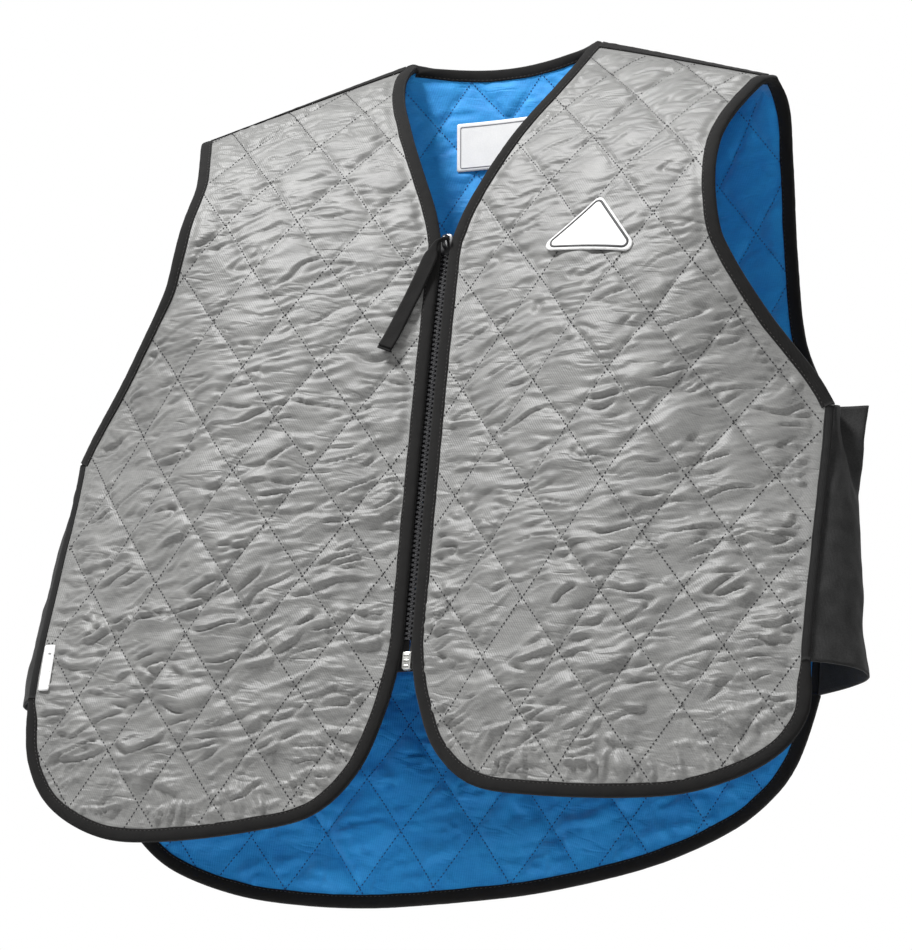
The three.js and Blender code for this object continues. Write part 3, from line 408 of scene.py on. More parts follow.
def quiltHeight(panel, look, x, z, inside, along):
    def noise(size, down, seed):
        return ripple(x / size[0], down / size[1], seed)

    seed = panel["seed"]
    down = clothDown(panel, z)
    p, q = lattice(panel, x, z)
    partP, partQ = p - np.floor(p), q - np.floor(q)
    nearP, nearQ = np.minimum(partP, 1 - partP) * quiltPitch, np.minimum(partQ, 1 - partQ) * quiltPitch
    cell, skewP, skewQ = (cellValue(np.floor(p), np.floor(q), seed + k) for k in (20, 21, 22))
    edges = (1 - np.exp(-(nearP / quilt["valley"]) ** 1.2)) * (1 - np.exp(-(nearQ / quilt["valley"]) ** 1.2))
    archP = np.sin(math.pi * partP ** (0.75 + 0.6 * skewP))
    archQ = np.sin(math.pi * partQ ** (0.75 + 0.6 * skewQ))
    dome = (archP * archQ) ** 0.8
    pillow = edges * (1 - quilt["dome"]) + quilt["dome"] * dome
    height = look["puff"] * (0.7 + 0.5 * cell) * pillow

    # sagging folds, valleys and fine wrinkles, all nearly level and rising a little towards +x
    level = down + quilt["rise"] * x
    for k, (high, *size) in enumerate(folds["drifts"]):
        level = level + high * noise(size, down, seed + 3 + k)
    shift = 4 * cell
    busy = ramp(noise(folds["busy"], level, seed + 5), *folds["busyFrom"])
    phase = level / folds["sagPitch"] + folds["sagWander"] * noise(folds["sag"], level, seed + 6) + shift
    part, turn = phase - np.floor(phase), folds["sagTurn"]
    sag = np.where(part < turn, (part / turn) ** folds["sagCurve"], 1 - ramp(part, turn, 1.0))
    wide, tall = folds["sagRun"]
    run = ripple(x / wide + np.floor(phase) * folds["sagApart"], level / tall, seed + 7)
    sagging = busy * ramp(run, *folds["sagRunFrom"])
    wide, tall = folds["valley"]
    near = ripple(x / wide + shift, level / tall, seed + 8)
    valley = 0.35 * np.exp(-((near - 0.24) / 0.13) ** 2) - 1.25 * np.exp(-(near / 0.105) ** 2)
    valley *= ramp(noise(folds["valleyRun"], level, seed + 9), *folds["valleyRunFrom"])
    broad = noise(folds["broad"], level, seed + 10)
    fine = noise(folds["fine"], level, seed + 11) * (0.4 + busy)
    hold = 0.2 + 0.8 * edges
    share = 0.45 + 1.05 * ramp(-z, *folds["moreBelow"])
    rise = look["tuck"] * (sag - folds["sagMiddle"]) * sagging + look["broad"] * broad + look["fine"] * fine
    height += edges * share * rise
    height += hold * (0.35 + 0.65 * share) * look["crease"] * valley

    puckerP = puckers(level, np.round(p) * folds["puckerApart"], nearP, seed + 12)
    puckerQ = puckers(level, np.round(q) * folds["puckerApart"] + 50, nearQ, seed + 13)
    height += folds["puckerHigh"] * look["pucker"] * (puckerP + puckerQ)

    # gathers that run in from the edge, stronger lower down
    shown = ramp(inside, quilt["edgeLow"], quilt["edgeHigh"])
    strength = ramp(inside, *folds["gatherFrom"]) * np.exp(-np.maximum(inside - 10, 0) / folds["gatherReach"])
    strength = strength * (0.25 + 0.95 * ramp(-z, *folds["gatherBelow"]))
    bent = along / folds["gatherPitch"] + 0.6 * ripple(along / 30, inside / 20, seed + 15)
    fold = ripple(bent, inside / 40, seed + 14)
    gather = (0.5 * fold - 0.9 * np.exp(-(fold / 0.2) ** 2)) * strength
    height = quilt["seam"] + height * shown + look["edge"] * gather
    return np.maximum(height, quilt["edgeHeight"] * (1 - shown) + quilt["least"])


def seamPoints(panel, step):
    places = []
    count = 24
    t = np.arange(-count, count, step / quiltSide)
    for n in range(-count, count):
        places.append(np.stack([np.full(len(t), n), t, np.ones(len(t))], axis=1))
        places.append(np.stack([t, np.full(len(t), n), np.zeros(len(t))], axis=1))
    p, q, kind = np.vstack(places).T
    x, z = latticePlace(panel, p, q)
    low, high = panel["loop"].min(0), panel["loop"].max(0)
    near = (x > low[0]) & (x < high[0]) & (z > low[1]) & (z < high[1])
    return p[near], q[near], kind[near], x[near], z[near]


def triangulated(loop, x, z):  # triangles inside the loop, with its points first
    count = len(loop)
    spots = np.vstack([loop, np.stack([x, z], axis=1)])
    edges = [(k, (k + 1) % count) for k in range(count)]
    flat = [Vector(spot) for spot in spots.tolist()]
    _, _, faces, origin, _, _ = delaunay_2d_cdt(flat, edges, [], 0, 1e-5, True)
    first = [ids[0] for ids in origin]
    faces = np.array([[first[v] for v in face] for face in faces])
    middle = spots[faces].mean(axis=1)
    outermost = (faces < count).all(axis=1)  # only these may lie outside
    inside, _ = nearestEdge(loop, middle[outermost, 0], middle[outermost, 1])
    kept = np.ones(len(faces), bool)
    kept[outermost] = inside > 0
    return [tuple(face) for face in faces[kept].tolist()]


def quiltedPly(name, panel, look, way, material):  # way is +1 for the shell and -1 for the lining
    loop = panel["loop"]
    low, high = loop.min(0), loop.max(0)
    rows = np.arange(low[1] + 1, high[1], look["stepZ"])
    columns = np.arange(low[0] + 1, high[0], look["stepX"])
    gridX, gridZ = np.meshgrid(columns, rows)
    gridX = gridX + (np.arange(len(rows)) % 2)[:, None] * look["stepX"] / 2
    gridX, gridZ = gridX.ravel(), gridZ.ravel()
    p, q = lattice(panel, gridX, gridZ)
    offSeam = np.minimum(np.abs(p - np.round(p)), np.abs(q - np.round(q))) * quiltPitch > quilt["offSeam"]
    _, _, _, seamX, seamZ = seamPoints(panel, look["stepX"] * 0.85)
    x, z = np.concatenate([gridX[offSeam], seamX]), np.concatenate([gridZ[offSeam], seamZ])
    inside, along = nearestEdge(loop, x, z)
    keep = inside > quilt["offEdge"]
    x, z, inside, along = x[keep], z[keep], inside[keep], along[keep]
    faces = triangulated(loop, x, z)

    count = len(loop)
    allX, allZ = np.concatenate([loop[:, 0], x]), np.concatenate([loop[:, 1], z])
    height = quiltHeight(panel, look, allX, allZ, np.concatenate([np.zeros(count), inside]),
                         np.concatenate([np.zeros(count), along]))
    height[:count] = quilt["edgeHeight"]
    outer = wallPoints(panel["wall"], allX, allZ, way * height)

    coarse = np.stack(np.meshgrid(columns[::5], rows[::8]), axis=-1).reshape(-1, 2)
    room, _ = nearestEdge(loop, coarse[:, 0], coarse[:, 1])
    coarse = coarse[room > quilt["backingInside"]]
    innerFaces = triangulated(loop, coarse[:, 0], coarse[:, 1])
    under = np.vstack([loop, coarse])
    inner = wallPoints(panel["wall"], under[:, 0], under[:, 1], way * quilt["backing"])

    base = len(outer)
    faces += [tuple(base + v for v in face[::-1]) for face in innerFaces]
    faces += [((k + 1) % count, k, base + k, base + (k + 1) % count) for k in range(count)]
    down = clothDown(panel, np.concatenate([allZ, under[:, 1]]))
    cloth = np.stack([np.concatenate([allX, under[:, 0]]), -down], axis=1)
    return facedOut(addMesh(name, np.vstack([outer, inner]), faces, material, cloth))


def threadDashes(name, starts, ends, outs, material, thickness):  # one small spindle for each stitch
    run = ends - starts
    length = np.linalg.norm(run, axis=1, keepdims=True)
    side = np.cross(run / length, outs)
    points = [starts - outs * thickness * 0.2]
    for turn in range(4):
        angle = math.pi / 2 * turn
        middle = starts + run / 2 + outs * thickness * 0.3
        points.append(middle + (side * math.cos(angle) + outs * math.sin(angle)) * thickness)
    points.append(ends - outs * thickness * 0.2)
    faces = []
    for base in range(0, 6 * len(starts), 6):
        for turn in range(4):
            a, b = base + 1 + turn, base + 1 + (turn + 1) % 4
            faces += [(base, b, a), (base + 5, a, b)]
    return facedOut(addMesh(name, np.stack(points, axis=1).reshape(-1, 3), faces, material))


def quiltStitches(name, panel, look, way, material):
    p, q, kind, x, z = seamPoints(panel, quilt["stitch"])
    inside, along = nearestEdge(panel["loop"], x, z)
    keep = inside > quilt["hiddenUnder"]
    p, q, kind, x, z, inside, along = (v[keep] for v in (p, q, kind, x, z, inside, along))
    half = (quilt["stitch"] - quilt["stitchGap"]) / 2 / quiltSide
    height = quiltHeight(panel, look, x, z, inside, along) * way
    ends = []
    for side in (-1, 1):
        endX, endZ = latticePlace(panel, p + side * half * (1 - kind), q + side * half * kind)
        ends.append(wallPoints(panel["wall"], endX, endZ, height))
    outs = plainOut(panel["wall"], x, z) * way
    return threadDashes(name, ends[0], ends[1], outs, material, quilt["thread"])


# Bound edges: a folded tape in section, each point as the way in from the edge and its height
tape = {
    "width": 8.0, "seamWidth": 5.2, "taper": 0.35, "taperRun": 16, "step": 2.2, "ridgeBlend": 14,
    "pucker": 0.2, "waver": 0.35,
    "stitchIn": 6.5, "stitch": 3.1, "stitchGap": 0.8, "thread": 0.24, "stripDrop": 5.6, "stripHigh": 2.2,
    "stripWall": 0.8,
    "outer": [(1, 1.35), (0.97, 1.85), (0.9, 1.98), (0.83, 1.86), (0.76, 2.05), (0.6, 2.38), (0.38, 2.45),
              (0.16, 2.3), (0.02, 1.9), (-0.07, 1.15), (-0.1, 0)],
    "inner": [(0.02, 0), (0.05, 0.9), (0.2, 1.3), (0.6, 1.32), (0.98, 1.3)],
}
outerSection = tape["outer"] + [(w, -h) for w, h in tape["outer"][-2::-1]]
innerSection = [(w, -h) for w, h in tape["inner"][::-1]] + tape["inner"][1:]


def inward(path, turn=1):
    way = np.gradient(path, axis=0)
    way /= np.linalg.norm(way, axis=1, keepdims=True)
    return np.stack([-way[:, 1], way[:, 0]], axis=1) * turn


def stationsOf(wall, path, side=1, turn=1):
    path = evenly(path, tape["step"])
    way = inward(path, turn)
    x, z = path.T
    slope = ridgeHeight(x + 0.5) - ridgeHeight(x - 0.5)
    ridgeWay = np.stack([np.ones(len(x)), slope], axis=1) * np.sign(way[:, :1])
    near = np.clip(1 - (ridgeHeight(x) - z) / tape["ridgeBlend"], 0, 1)[:, None]
    near = near * (np.abs(way[:, :1]) > 0.3)
    way = way * (1 - near) + ridgeWay * near
    way /= np.linalg.norm(way, axis=1, keepdims=True)
    return [(wall, side * px, pz, side * wx, wz) for (px, pz), (wx, wz) in zip(path, way)]


def placesAt(stations, inwards, heights):  # n stations by m places, on each station's own wall
    x = np.array([s[1] for s in stations])[:, None] + np.array([s[3] for s in stations])[:, None] * inwards
    z = np.array([s[2] for s in stations])[:, None] + np.array([s[4] for s in stations])[:, None] * inwards
    onFront = np.array([s[0] is front for s in stations])
    places = np.empty((*x.shape, 3))
    for wall, chosen in ((front, onFront), (back, ~onFront)):
        if chosen.any():
            flat = wallPoints(wall, x[chosen].ravel(), z[chosen].ravel(), heights[chosen].ravel())
            places[chosen] = flat.reshape(-1, x.shape[1], 3)
    return places


def alongStations(stations):
    places = np.array([[s[1], s[2]] for s in stations])
    return np.concatenate([[0], np.cumsum(np.linalg.norm(np.diff(places, axis=0), axis=1))])


def tapeHeights(stations, section, width, seed):
    w, h = np.array(section).T
    along = alongStations(stations)[:, None]
    pucker = ripple(along / 5.4 + w * 0.4, np.abs(w) * 2.2 + np.sign(h) * 9, seed)
    pucker += 0.5 * ripple(along / 2.3, w * 3 + np.sign(h) * 17, seed + 1)
    heights = h + np.sign(h) * tape["pucker"] * pucker * np.minimum(1, np.abs(h))
    waver = tape["waver"] * ripple(along / 19, np.sign(h) * 5 + 0 * along, seed + 2)
    return w * width + waver * np.clip(w, 0, 1), heights


def boundEdge(name, stations, width, material, seed):
    inwards, heights = tapeHeights(stations, outerSection, width, seed)
    count = len(stations)
    w, h = np.array(innerSection).T
    inwards = np.hstack([inwards, np.broadcast_to(w * width, (count, len(w)))])
    heights = np.hstack([heights, np.broadcast_to(h, (count, len(h)))])
    m = inwards.shape[1]
    places = placesAt(stations, inwards, heights).reshape(-1, 3)
    faces = ringFaces(count, m)
    outer = len(outerSection)
    pairs = np.round(np.linspace(0, m - outer - 1, outer)).astype(int)
    for start, turn in ((0, 1), ((count - 1) * m, -1)):  # end walls, between the outer and inner lines
        for k in range(outer - 1):
            a, b = start + k, start + k + 1
            c, d = start + m - 1 - pairs[k + 1], start + m - 1 - pairs[k]
            ring = [a, b, c, d] if c != d else [a, b, c]
            faces.append(tuple(ring[::turn]))
    along = np.broadcast_to(alongStations(stations)[:, None], inwards.shape)
    cloth = np.stack([inwards + np.sign(heights) * 20, along], axis=-1).reshape(-1, 2)
    return facedOut(addMesh(name, places, faces, material, cloth))


def boundStitches(name, stations, width, material, seed, faces=(1, -1)):
    along = alongStations(stations)
    at = np.arange(2, along[-1] - 2, tape["stitch"])
    w, h = np.array(outerSection).T
    inwards, heights = tapeHeights(stations, outerSection, width, seed)
    starts, ends, outs = [], [], []
    for face in faces:
        column = np.argmin(np.abs(w * np.max(width) - tape["stitchIn"]) + 9 * (np.sign(h) != face))
        line = placesAt(stations, inwards[:, column:column + 1], heights[:, column:column + 1])[:, 0]
        level = placesAt(stations, inwards[:, column:column + 1], heights[:, column:column + 1] * 0)[:, 0]
        for shift, into in ((0, starts), (tape["stitch"] - tape["stitchGap"], ends)):
            into.append(np.stack([np.interp(at + shift, along, line[:, k]) for k in range(3)], axis=1))
        out = np.stack([np.interp(at, along, (line - level)[:, k]) for k in range(3)], axis=1)
        outs.append(out / np.linalg.norm(out, axis=1, keepdims=True))
    return threadDashes(name, np.vstack(starts), np.vstack(ends), np.vstack(outs), material, tape["thread"])


def shoulderStrip(name, side, material, seed):
    low, high = vest["neckHalf"] + tape["width"] - 2, vest["shoulderHalf"] - tape["width"] + 1
    x = side * np.linspace(low, high, 56)
    drops = np.linspace(-1, 1, 15)
    rings = []
    for level, way in ((tape["stripHigh"], 1), (tape["stripHigh"] - tape["stripWall"], -1),
                       (-tape["stripHigh"] + tape["stripWall"], 1), (-tape["stripHigh"], -1)):
        line = []
        for drop in drops[::way]:
            depth = tape["stripDrop"] * (1 - 0.18 * (np.abs(x) - low) / (high - low)) * abs(drop)
            swell = 0.25 * (1 - drop**2) + 0.16 * ripple(x / 5, 0 * x + drop * 2, seed)
            wall = front if drop < 0 else back
            line.append(wallPoints(wall, x, ridgeHeight(x) - depth, level + math.copysign(1, level) * swell))
        rings.append(np.stack(line, axis=1))
    pieces = []
    for k in (0, 2):
        ring = np.concatenate([rings[k], rings[k + 1]], axis=1)
        m = ring.shape[1]
        faces = closedRings(len(x), m)
        along = np.broadcast_to(x[:, None], ring.shape[:2])
        cloth = np.stack([np.broadcast_to(np.arange(m) * 1.0, ring.shape[:2]), along], axis=-1).reshape(-1, 2)
        title = name + "_inside" if k else name
        pieces.append(facedOut(addMesh(title, ring.reshape(-1, 3), faces, material, cloth)))
    return pieces


# Stretch gussets, folded outwards, open at the foot
gusset = {
    "wall": 1.3, "across": 44, "down": 80, "clear": -1.5, "single": 0.4,
    "bulge": [(0, 23.5), (0.18, 22), (0.36, 21), (0.48, 23), (0.64, 26.5), (0.84, 29), (1, 34.5)],
    "farBulge": [(0, 25), (0.12, 28.5), (0.2, 25), (0.36, 20.5), (0.48, 21.5), (0.64, 24), (0.84, 25), (1, 25)],
    "along": [0, 0.1, 0.24, 0.4, 0.56, 0.78, 1],  # share of the way from the front seam to the back
    "low": [0, 0.42, 0.8, 0.98, 1.0, 0.72, 0],  # share of the bulge where the gusset has one fold
    "high": [0, 0.12, 0.17, 0.1, 1.0, 0.6, 0],  # the same at the top, where the front leaf folds by itself
}


def gussetPiece(name, side, material, seed):
    backHip = hemBack(side)[0, 0]
    t = np.linspace(0, 1, gusset["down"] + 1)
    zFront = underarmFront + (gussetFoot - underarmFront) * t
    zBack = underarmBack + (gussetFoot - underarmBack) * t
    frontX = np.full(len(t), vest["halfWidth"] + gusset["clear"])
    backX = armholeBack[-1, 0] * (1 - t) + backHip * t + gusset["clear"]
    start = np.stack([frontX, wallDepth(front, frontX - gusset["clear"], zFront), zFront], axis=1)
    end = np.stack([backX, wallDepth(back, backX - gusset["clear"], zBack), zBack], axis=1)
    bulge = throughKnots(*np.array(gusset["bulge" if side > 0 else "farBulge"]).T, t)
    one = ramp(t, 0, gusset["single"])[:, None]
    shares = np.array(gusset["along"])
    knots = start[:, None] + (end - start)[:, None] * shares[:, None]
    knots[..., 0] += bulge[:, None] * (np.array(gusset["low"]) * one + np.array(gusset["high"]) * (1 - one))
    share = np.linspace(0, len(shares) - 1, gusset["across"] + 1)
    columns = []
    for at in share:
        columns.append([throughKnots(np.arange(len(shares)), knots[:, :, k].T, np.full(len(t), at))
                        for k in range(3)])
    middle = np.stack(columns).transpose(2, 0, 1)
    along = np.gradient(middle, axis=1)
    along[..., 2] = 0
    along /= np.linalg.norm(along, axis=-1, keepdims=True)
    out = np.stack([along[..., 1], -along[..., 0], np.zeros(along.shape[:2])], axis=-1)
    grid, rows = np.meshgrid(share, t)
    fixed = np.minimum(1, np.minimum(grid, share[-1] - grid) * 1.5)
    wave = (1.3 * ripple(grid * 0.7, rows * 5, seed) + 0.4 * ripple(grid * 1.5, rows * 17, seed + 1)) * fixed
    middle = middle + out * wave[..., None]
    half = gusset["wall"] / 2
    outer, inner = middle + out * half, middle - out * half
    ring = np.concatenate([outer, inner[:, ::-1]], axis=1) * [side, 1, 1]
    m = ring.shape[1]
    faces = leafFaces(len(t), m)
    steps = np.linalg.norm(np.diff(middle, axis=1), axis=-1)
    reach = np.concatenate([np.zeros((len(t), 1)), np.cumsum(steps, axis=1)], axis=1)
    cloth = np.stack([np.concatenate([reach, reach[:, ::-1]], axis=1),
                      np.repeat(middle[:, :1, 2], m, axis=1)], axis=-1)
    widths, length = reach[:, -1] * vest["mm"], (zFront[0] - zFront[-1]) * vest["mm"]
    piece = facedOut(addMesh(name, ring.reshape(-1, 3), faces, material, cloth.reshape(-1, 2)))
    return piece, (float(widths.max()), float(length)), float(widths.mean() * length)


# Zip
zipper = {
    "tapeHigh": -3.75, "tapeWall": 0.55, "tapeStart": 0.3, "tapeWide": 13,
    "tapeAbove": 6, "tapeBelow": 7, "tapeColumns": 12, "tapeRows": 170,
    "chain": 3.0, "chainHigh": -0.9, "chainDeep": 2.7,
    "pitch": 3.3, "headReach": 1.25, "headTall": 2.35, "neckTall": 1.35, "bevel": 0.35, "gap": 0.12,
    "boxTop": 5.2, "boxLow": -6.4, "boxHalf": 2.9, "endRoom": 12,
}
slider = {"top": 6.4, "foot": -9.6, "half": 4.3, "nose": 3.2, "plate": 1.15, "bridgeHigh": 5.6,
          "bridgeFrom": -5.5, "bridgeTo": 4.2, "bridgeHalf": 1.25, "bridgeWall": 1.25, "bridgeMiddle": -0.8}


def wrappedSolid(outline, levels, insets=None):  # an outline stacked at several heights over the front
    insets = insets or [0] * len(levels)
    rings = []
    for level, inset in zip(levels, insets):
        middle = outline.mean(axis=0)
        away = outline - middle
        length = np.linalg.norm(away, axis=1, keepdims=True)
        shrunk = middle + away * (1 - inset / np.maximum(length, inset + 0.01))
        rings.append(np.column_stack([shrunk, np.full(len(outline), level)]))
    points = np.concatenate(rings)
    m = len(outline)
    return points, closedRings(len(levels), m)


def ontoFront(points):
    return wallPoints(front, points[:, 0], points[:, 1], points[:, 2])


def gathered(name, parts, material, smooth=True, cloth=None):  # several closed parts in one mesh
    points, faces, base = [], [], 0
    for partPoints, partFaces in parts:
        points.append(partPoints)
        faces += [tuple(base + v for v in face) for face in partFaces]
        base += len(partPoints)
    return facedOut(addMesh(name, ontoFront(np.concatenate(points)), faces, material, cloth, smooth))


def zipTeeth(name, side, material):
    count = int((vest["zipLength"] - zipper["endRoom"]) / zipper["pitch"])
    low = zipper["chainHigh"] - zipper["chainDeep"]
    levels = [low, low + zipper["bevel"], zipper["chainHigh"] - zipper["bevel"], zipper["chainHigh"]]
    parts = []
    for k in range(count):
        z = zipTop - (k + (0.25 if side > 0 else 0.75)) * zipper["pitch"]
        head, neck, reach = zipper["headTall"] / 2, zipper["neckTall"] / 2, zipper["headReach"]
        half = [(zipper["chain"], head * 0.9), (1.7, head * 0.85), (0.75, neck), (0, neck * 0.92),
                (-reach * 0.35, head * 0.86), (-reach * 0.8, head * 0.72), (-reach, head * 0.3)]
        outline = np.array(half + [(x, -y) for x, y in half[::-1]]) * [side, 1] + [side * zipper["gap"], z]
        lift = 0.1 * (cellValue(np.array(k), np.array(side + 3), 5) - 0.5)
        points, faces = wrappedSolid(outline, levels, [zipper["bevel"], 0, 0, zipper["bevel"]])
        points[:, 2] += lift
        parts.append((points, faces))
    return gathered(name, parts, material, smooth=False)


def zipTape(name, side, material):
    x = np.linspace(zipper["tapeStart"], zipper["chain"] + zipper["tapeWide"], zipper["tapeColumns"])
    z = np.linspace(zipTop + zipper["tapeAbove"], zipFoot - zipper["tapeBelow"], zipper["tapeRows"])
    gridX, gridZ = np.meshgrid(x, z)
    wave = 0.25 * ripple(gridX / 9, gridZ / 14, 31 + side) * ramp(gridX, 5, 14)
    cord = 0.3 * np.exp(-((gridX - zipper["chain"] - 1.4) / 0.9) ** 2)
    outer = np.stack([side * gridX, gridZ, zipper["tapeHigh"] + wave + cord], axis=-1)
    inner = np.stack([side * gridX, gridZ, zipper["tapeHigh"] - zipper["tapeWall"] + wave], axis=-1)[:, ::-1]
    ring = np.concatenate([outer, inner], axis=1)
    m = ring.shape[1]
    cloth = ring[..., :2].reshape(-1, 2)
    return facedOut(addMesh(name, ontoFront(ring.reshape(-1, 3)), leafFaces(len(z), m), material, cloth))


def sliderBody(name, material):
    top, foot, half, nose = (slider[k] for k in ("top", "foot", "half", "nose"))
    right = [(nose * 0.45, foot), (nose * 0.92, foot + 0.7), (nose, foot + 2.2), (half * 0.86, foot + 5.5),
             (half, foot + 8.6), (half, top - 3.4), (half * 0.8, top - 1.1), (half * 0.4, top - 0.25)]
    outline = np.array(right + [(-x, z) for x, z in right[::-1]]) + [0, zipTop]
    clear = 0.35
    face = zipper["chainHigh"] + clear
    under = zipper["chainHigh"] - zipper["chainDeep"] - clear
    thick, bevel = slider["plate"], 0.4
    parts = []
    for base in (face, under - thick):
        levels = [base, base + bevel, base + thick - bevel, base + thick - 0.08, base + thick]
        parts.append(wrappedSolid(outline, levels, [bevel, 0, 0, bevel * 0.5, bevel * 1.3]))
    post = np.array([(-1.2, 1.2), (1.2, 1.2), (1.5, top - 1.5), (-1.5, top - 1.5)]) + [0, zipTop]
    parts.append(wrappedSolid(post, [under, face]))
    turns = np.linspace(0, math.pi, 25)
    middle = (slider["bridgeFrom"] + slider["bridgeTo"]) / 2
    reach = (slider["bridgeTo"] - slider["bridgeFrom"]) / 2
    wall = slider["bridgeWall"]
    squareness = 0.72
    rings = []
    for angle in turns:
        c, s = math.copysign(abs(math.cos(angle)) ** squareness, math.cos(angle)), math.sin(angle) ** squareness
        outer = (middle + c * reach, face + thick - 0.35 + s * slider["bridgeHigh"])
        inner = (middle + c * (reach - wall), face + thick - 0.35 + s * (slider["bridgeHigh"] - wall))
        ring = []
        for across, share in ((-1, 0.12), (-0.8, 0), (0.8, 0), (1, 0.12), (1, 0.88), (0.8, 1), (-0.8, 1),
                              (-1, 0.88)):
            z = outer[0] + (inner[0] - outer[0]) * share
            h = outer[1] + (inner[1] - outer[1]) * share
            ring.append((across * slider["bridgeHalf"], zipTop + z, h))
        rings.append(ring)
    bridge = np.array(rings).reshape(-1, 3)
    parts.append((bridge, closedRings(len(rings), len(rings[0]))))
    return gathered(name, parts, material)


def zipBox(name, material):
    half = zipper["boxHalf"]
    top, low = zipFoot + zipper["boxTop"], zipFoot + zipper["boxLow"]
    right = [(half * 0.6, low), (half * 0.95, low + 0.5), (half, low + 1.4), (half, top - 0.8),
             (half * 0.85, top)]
    outline = np.array(right + [(-x, z) for x, z in right[::-1]])
    floor = zipper["chainHigh"] - zipper["chainDeep"] - 0.6
    face = zipper["chainHigh"] + 0.7
    levels = [floor, floor + 0.3, face - 0.45, face - 0.12, face]
    parts = [wrappedSolid(outline, levels, [0.3, 0, 0, 0.25, 0.7])]
    for z in (top - 2.2, (top + low) / 2, low + 2.2):
        wide = half * 0.7
        rib = np.array([(-wide, z - 0.5), (wide, z - 0.5), (wide, z + 0.5), (-wide, z + 0.5)])
        parts.append(wrappedSolid(rib, [face - 0.2, face + 0.25, face + 0.4], [0, 0, 0.25]))
    return gathered(name, parts, material)


# Ribbon on the slider, doubled: shares of its reach across and down, height over the cloth, width share
ribbon = {
    "wide": 10, "across": 33, "down": 80, "ply": 0.5, "apart": 0.35, "steps": 110, "overTape": 2.6,
    "evened": 12, "sink": 0.4,
    "course": [(-0.14, -0.01, 2.6, 0.3), (0, 0, 2.9, 0.26), (0.13, 0.03, 3.2, 0.34), (0.2, 0.1, 3.4, 0.62),
               (0.25, 0.17, 3.2, 1), (0.45, 0.4, 2.2, 1), (0.72, 0.7, 2.4, 1), (0.88, 0.88, 3.4, 1),
               (1, 1.01, 4.6, 1)],
}


def pullRibbon(name, panel, look, material):
    course = np.array(ribbon["course"])
    at = np.linspace(0, len(course) - 1, ribbon["steps"])
    across, down, high, wide = (throughKnots(np.arange(len(course)), course[:, k], at) for k in range(4))
    x = -across * ribbon["across"]
    z = zipTop + slider["bridgeMiddle"] - down * ribbon["down"]
    way = np.gradient(np.stack([x, z], axis=1), axis=0)
    way /= np.linalg.norm(way, axis=1, keepdims=True)
    places = np.linspace(-1, 1, 9)
    gridX = x[:, None] + way[:, 1:] * places * wide[:, None] * ribbon["wide"] / 2
    gridZ = z[:, None] - way[:, :1] * places * wide[:, None] * ribbon["wide"] / 2
    inside, along = nearestEdge(panel["loop"], gridX.ravel(), gridZ.ravel())
    rest = quiltHeight(panel, look, gridX.ravel(), gridZ.ravel(), np.maximum(inside, 0), along)
    rest = rest.reshape(gridX.shape)
    rest = np.where(inside.reshape(gridX.shape) > tape["width"], rest, ribbon["overTape"]).max(axis=1)
    span = 2 * ribbon["evened"] + 1
    rest = np.convolve(np.pad(rest, ribbon["evened"], mode="edge"), np.ones(span) / span, mode="valid")
    rest = np.maximum(rest, ribbon["overTape"]) + high - ribbon["sink"]
    run = np.concatenate([[0], np.cumsum(np.hypot(np.diff(x), np.diff(z)))])
    sag = 0.3 * ripple(run[:, None] / 13, places * 0.8, 77) + 0.35 * (1 - wide[:, None]) * (1 - places**2) * 4
    parts, clothParts = [], []
    for ply in (0, 1):
        base = rest[:, None] + ply * (ribbon["ply"] + ribbon["apart"]) + sag
        ends = slice(0, len(run) - (3 if ply else 0))
        top = np.stack([gridX, gridZ, base + ribbon["ply"]], axis=-1)[ends]
        low = np.stack([gridX, gridZ, base], axis=-1)[ends, ::-1]
        ring = np.concatenate([top, low], axis=1)
        m = ring.shape[1]
        parts.append((ring.reshape(-1, 3), leafFaces(len(ring), m)))
        clothAcross = np.tile(np.concatenate([places, places[::-1]]) * ribbon["wide"] / 2, (len(ring), 1))
        clothAlong = np.repeat(run[:len(ring), None], m, axis=1)
        clothParts.append(np.stack([clothAcross, clothAlong], axis=-1).reshape(-1, 2))
    return gathered(name, parts, material, cloth=np.concatenate(clothParts))


# Labels
label = {
    "neckWide": 78, "neckTall": 35, "neckDown": 61, "wall": 0.45,
    "badgeWide": 74, "badgeTall": 41, "badgeCorner": 6, "badgeTilt": -0.14,
    "badgeAcross": 111, "badgeDown": 181,
    "badgeWall": 0.9, "badgeStiff": 0.93, "neckStiff": 0.8, "badgeLine": 2.5, "badgeLineWide": 1.9,
    "neckLine": 2.6, "corner": 0.8, "sideWide": 8, "sideTall": 32, "sideAcross": 255, "sideDown": 465,
}


def roundedShape(corners, radius, steps=7):  # outline with each corner drawn as an arc
    corners = np.array(corners, float)
    line = []
    for k, corner in enumerate(corners):
        before, after = corners[k - 1] - corner, corners[(k + 1) % len(corners)] - corner
        before, after = before / np.linalg.norm(before), after / np.linalg.norm(after)
        half = math.acos(np.clip(before @ after, -1, 1)) / 2
        start, end = corner + before * radius / math.tan(half), corner + after * radius / math.tan(half)
        middle = corner + (before + after) / np.linalg.norm(before + after) * radius / math.sin(half)
        first = math.atan2(*(start - middle)[::-1])
        turn = (math.atan2(*(end - middle)[::-1]) - first + math.pi) % (2 * math.pi) - math.pi
        for t in np.linspace(0, 1, steps):
            line.append(middle + radius * np.array([math.cos(first + turn * t), math.sin(first + turn * t)]))
    return np.array(line)


def upright(wide, tall, across, down, inset=0):  # a rectangle with tight corners
    left, right = across - wide / 2 + inset, across + wide / 2 - inset
    low, high = -down - tall / 2 + inset, -down + tall / 2 - inset
    return roundedShape([(left, low), (right, low), (right, high), (left, high)], label["corner"], 3)


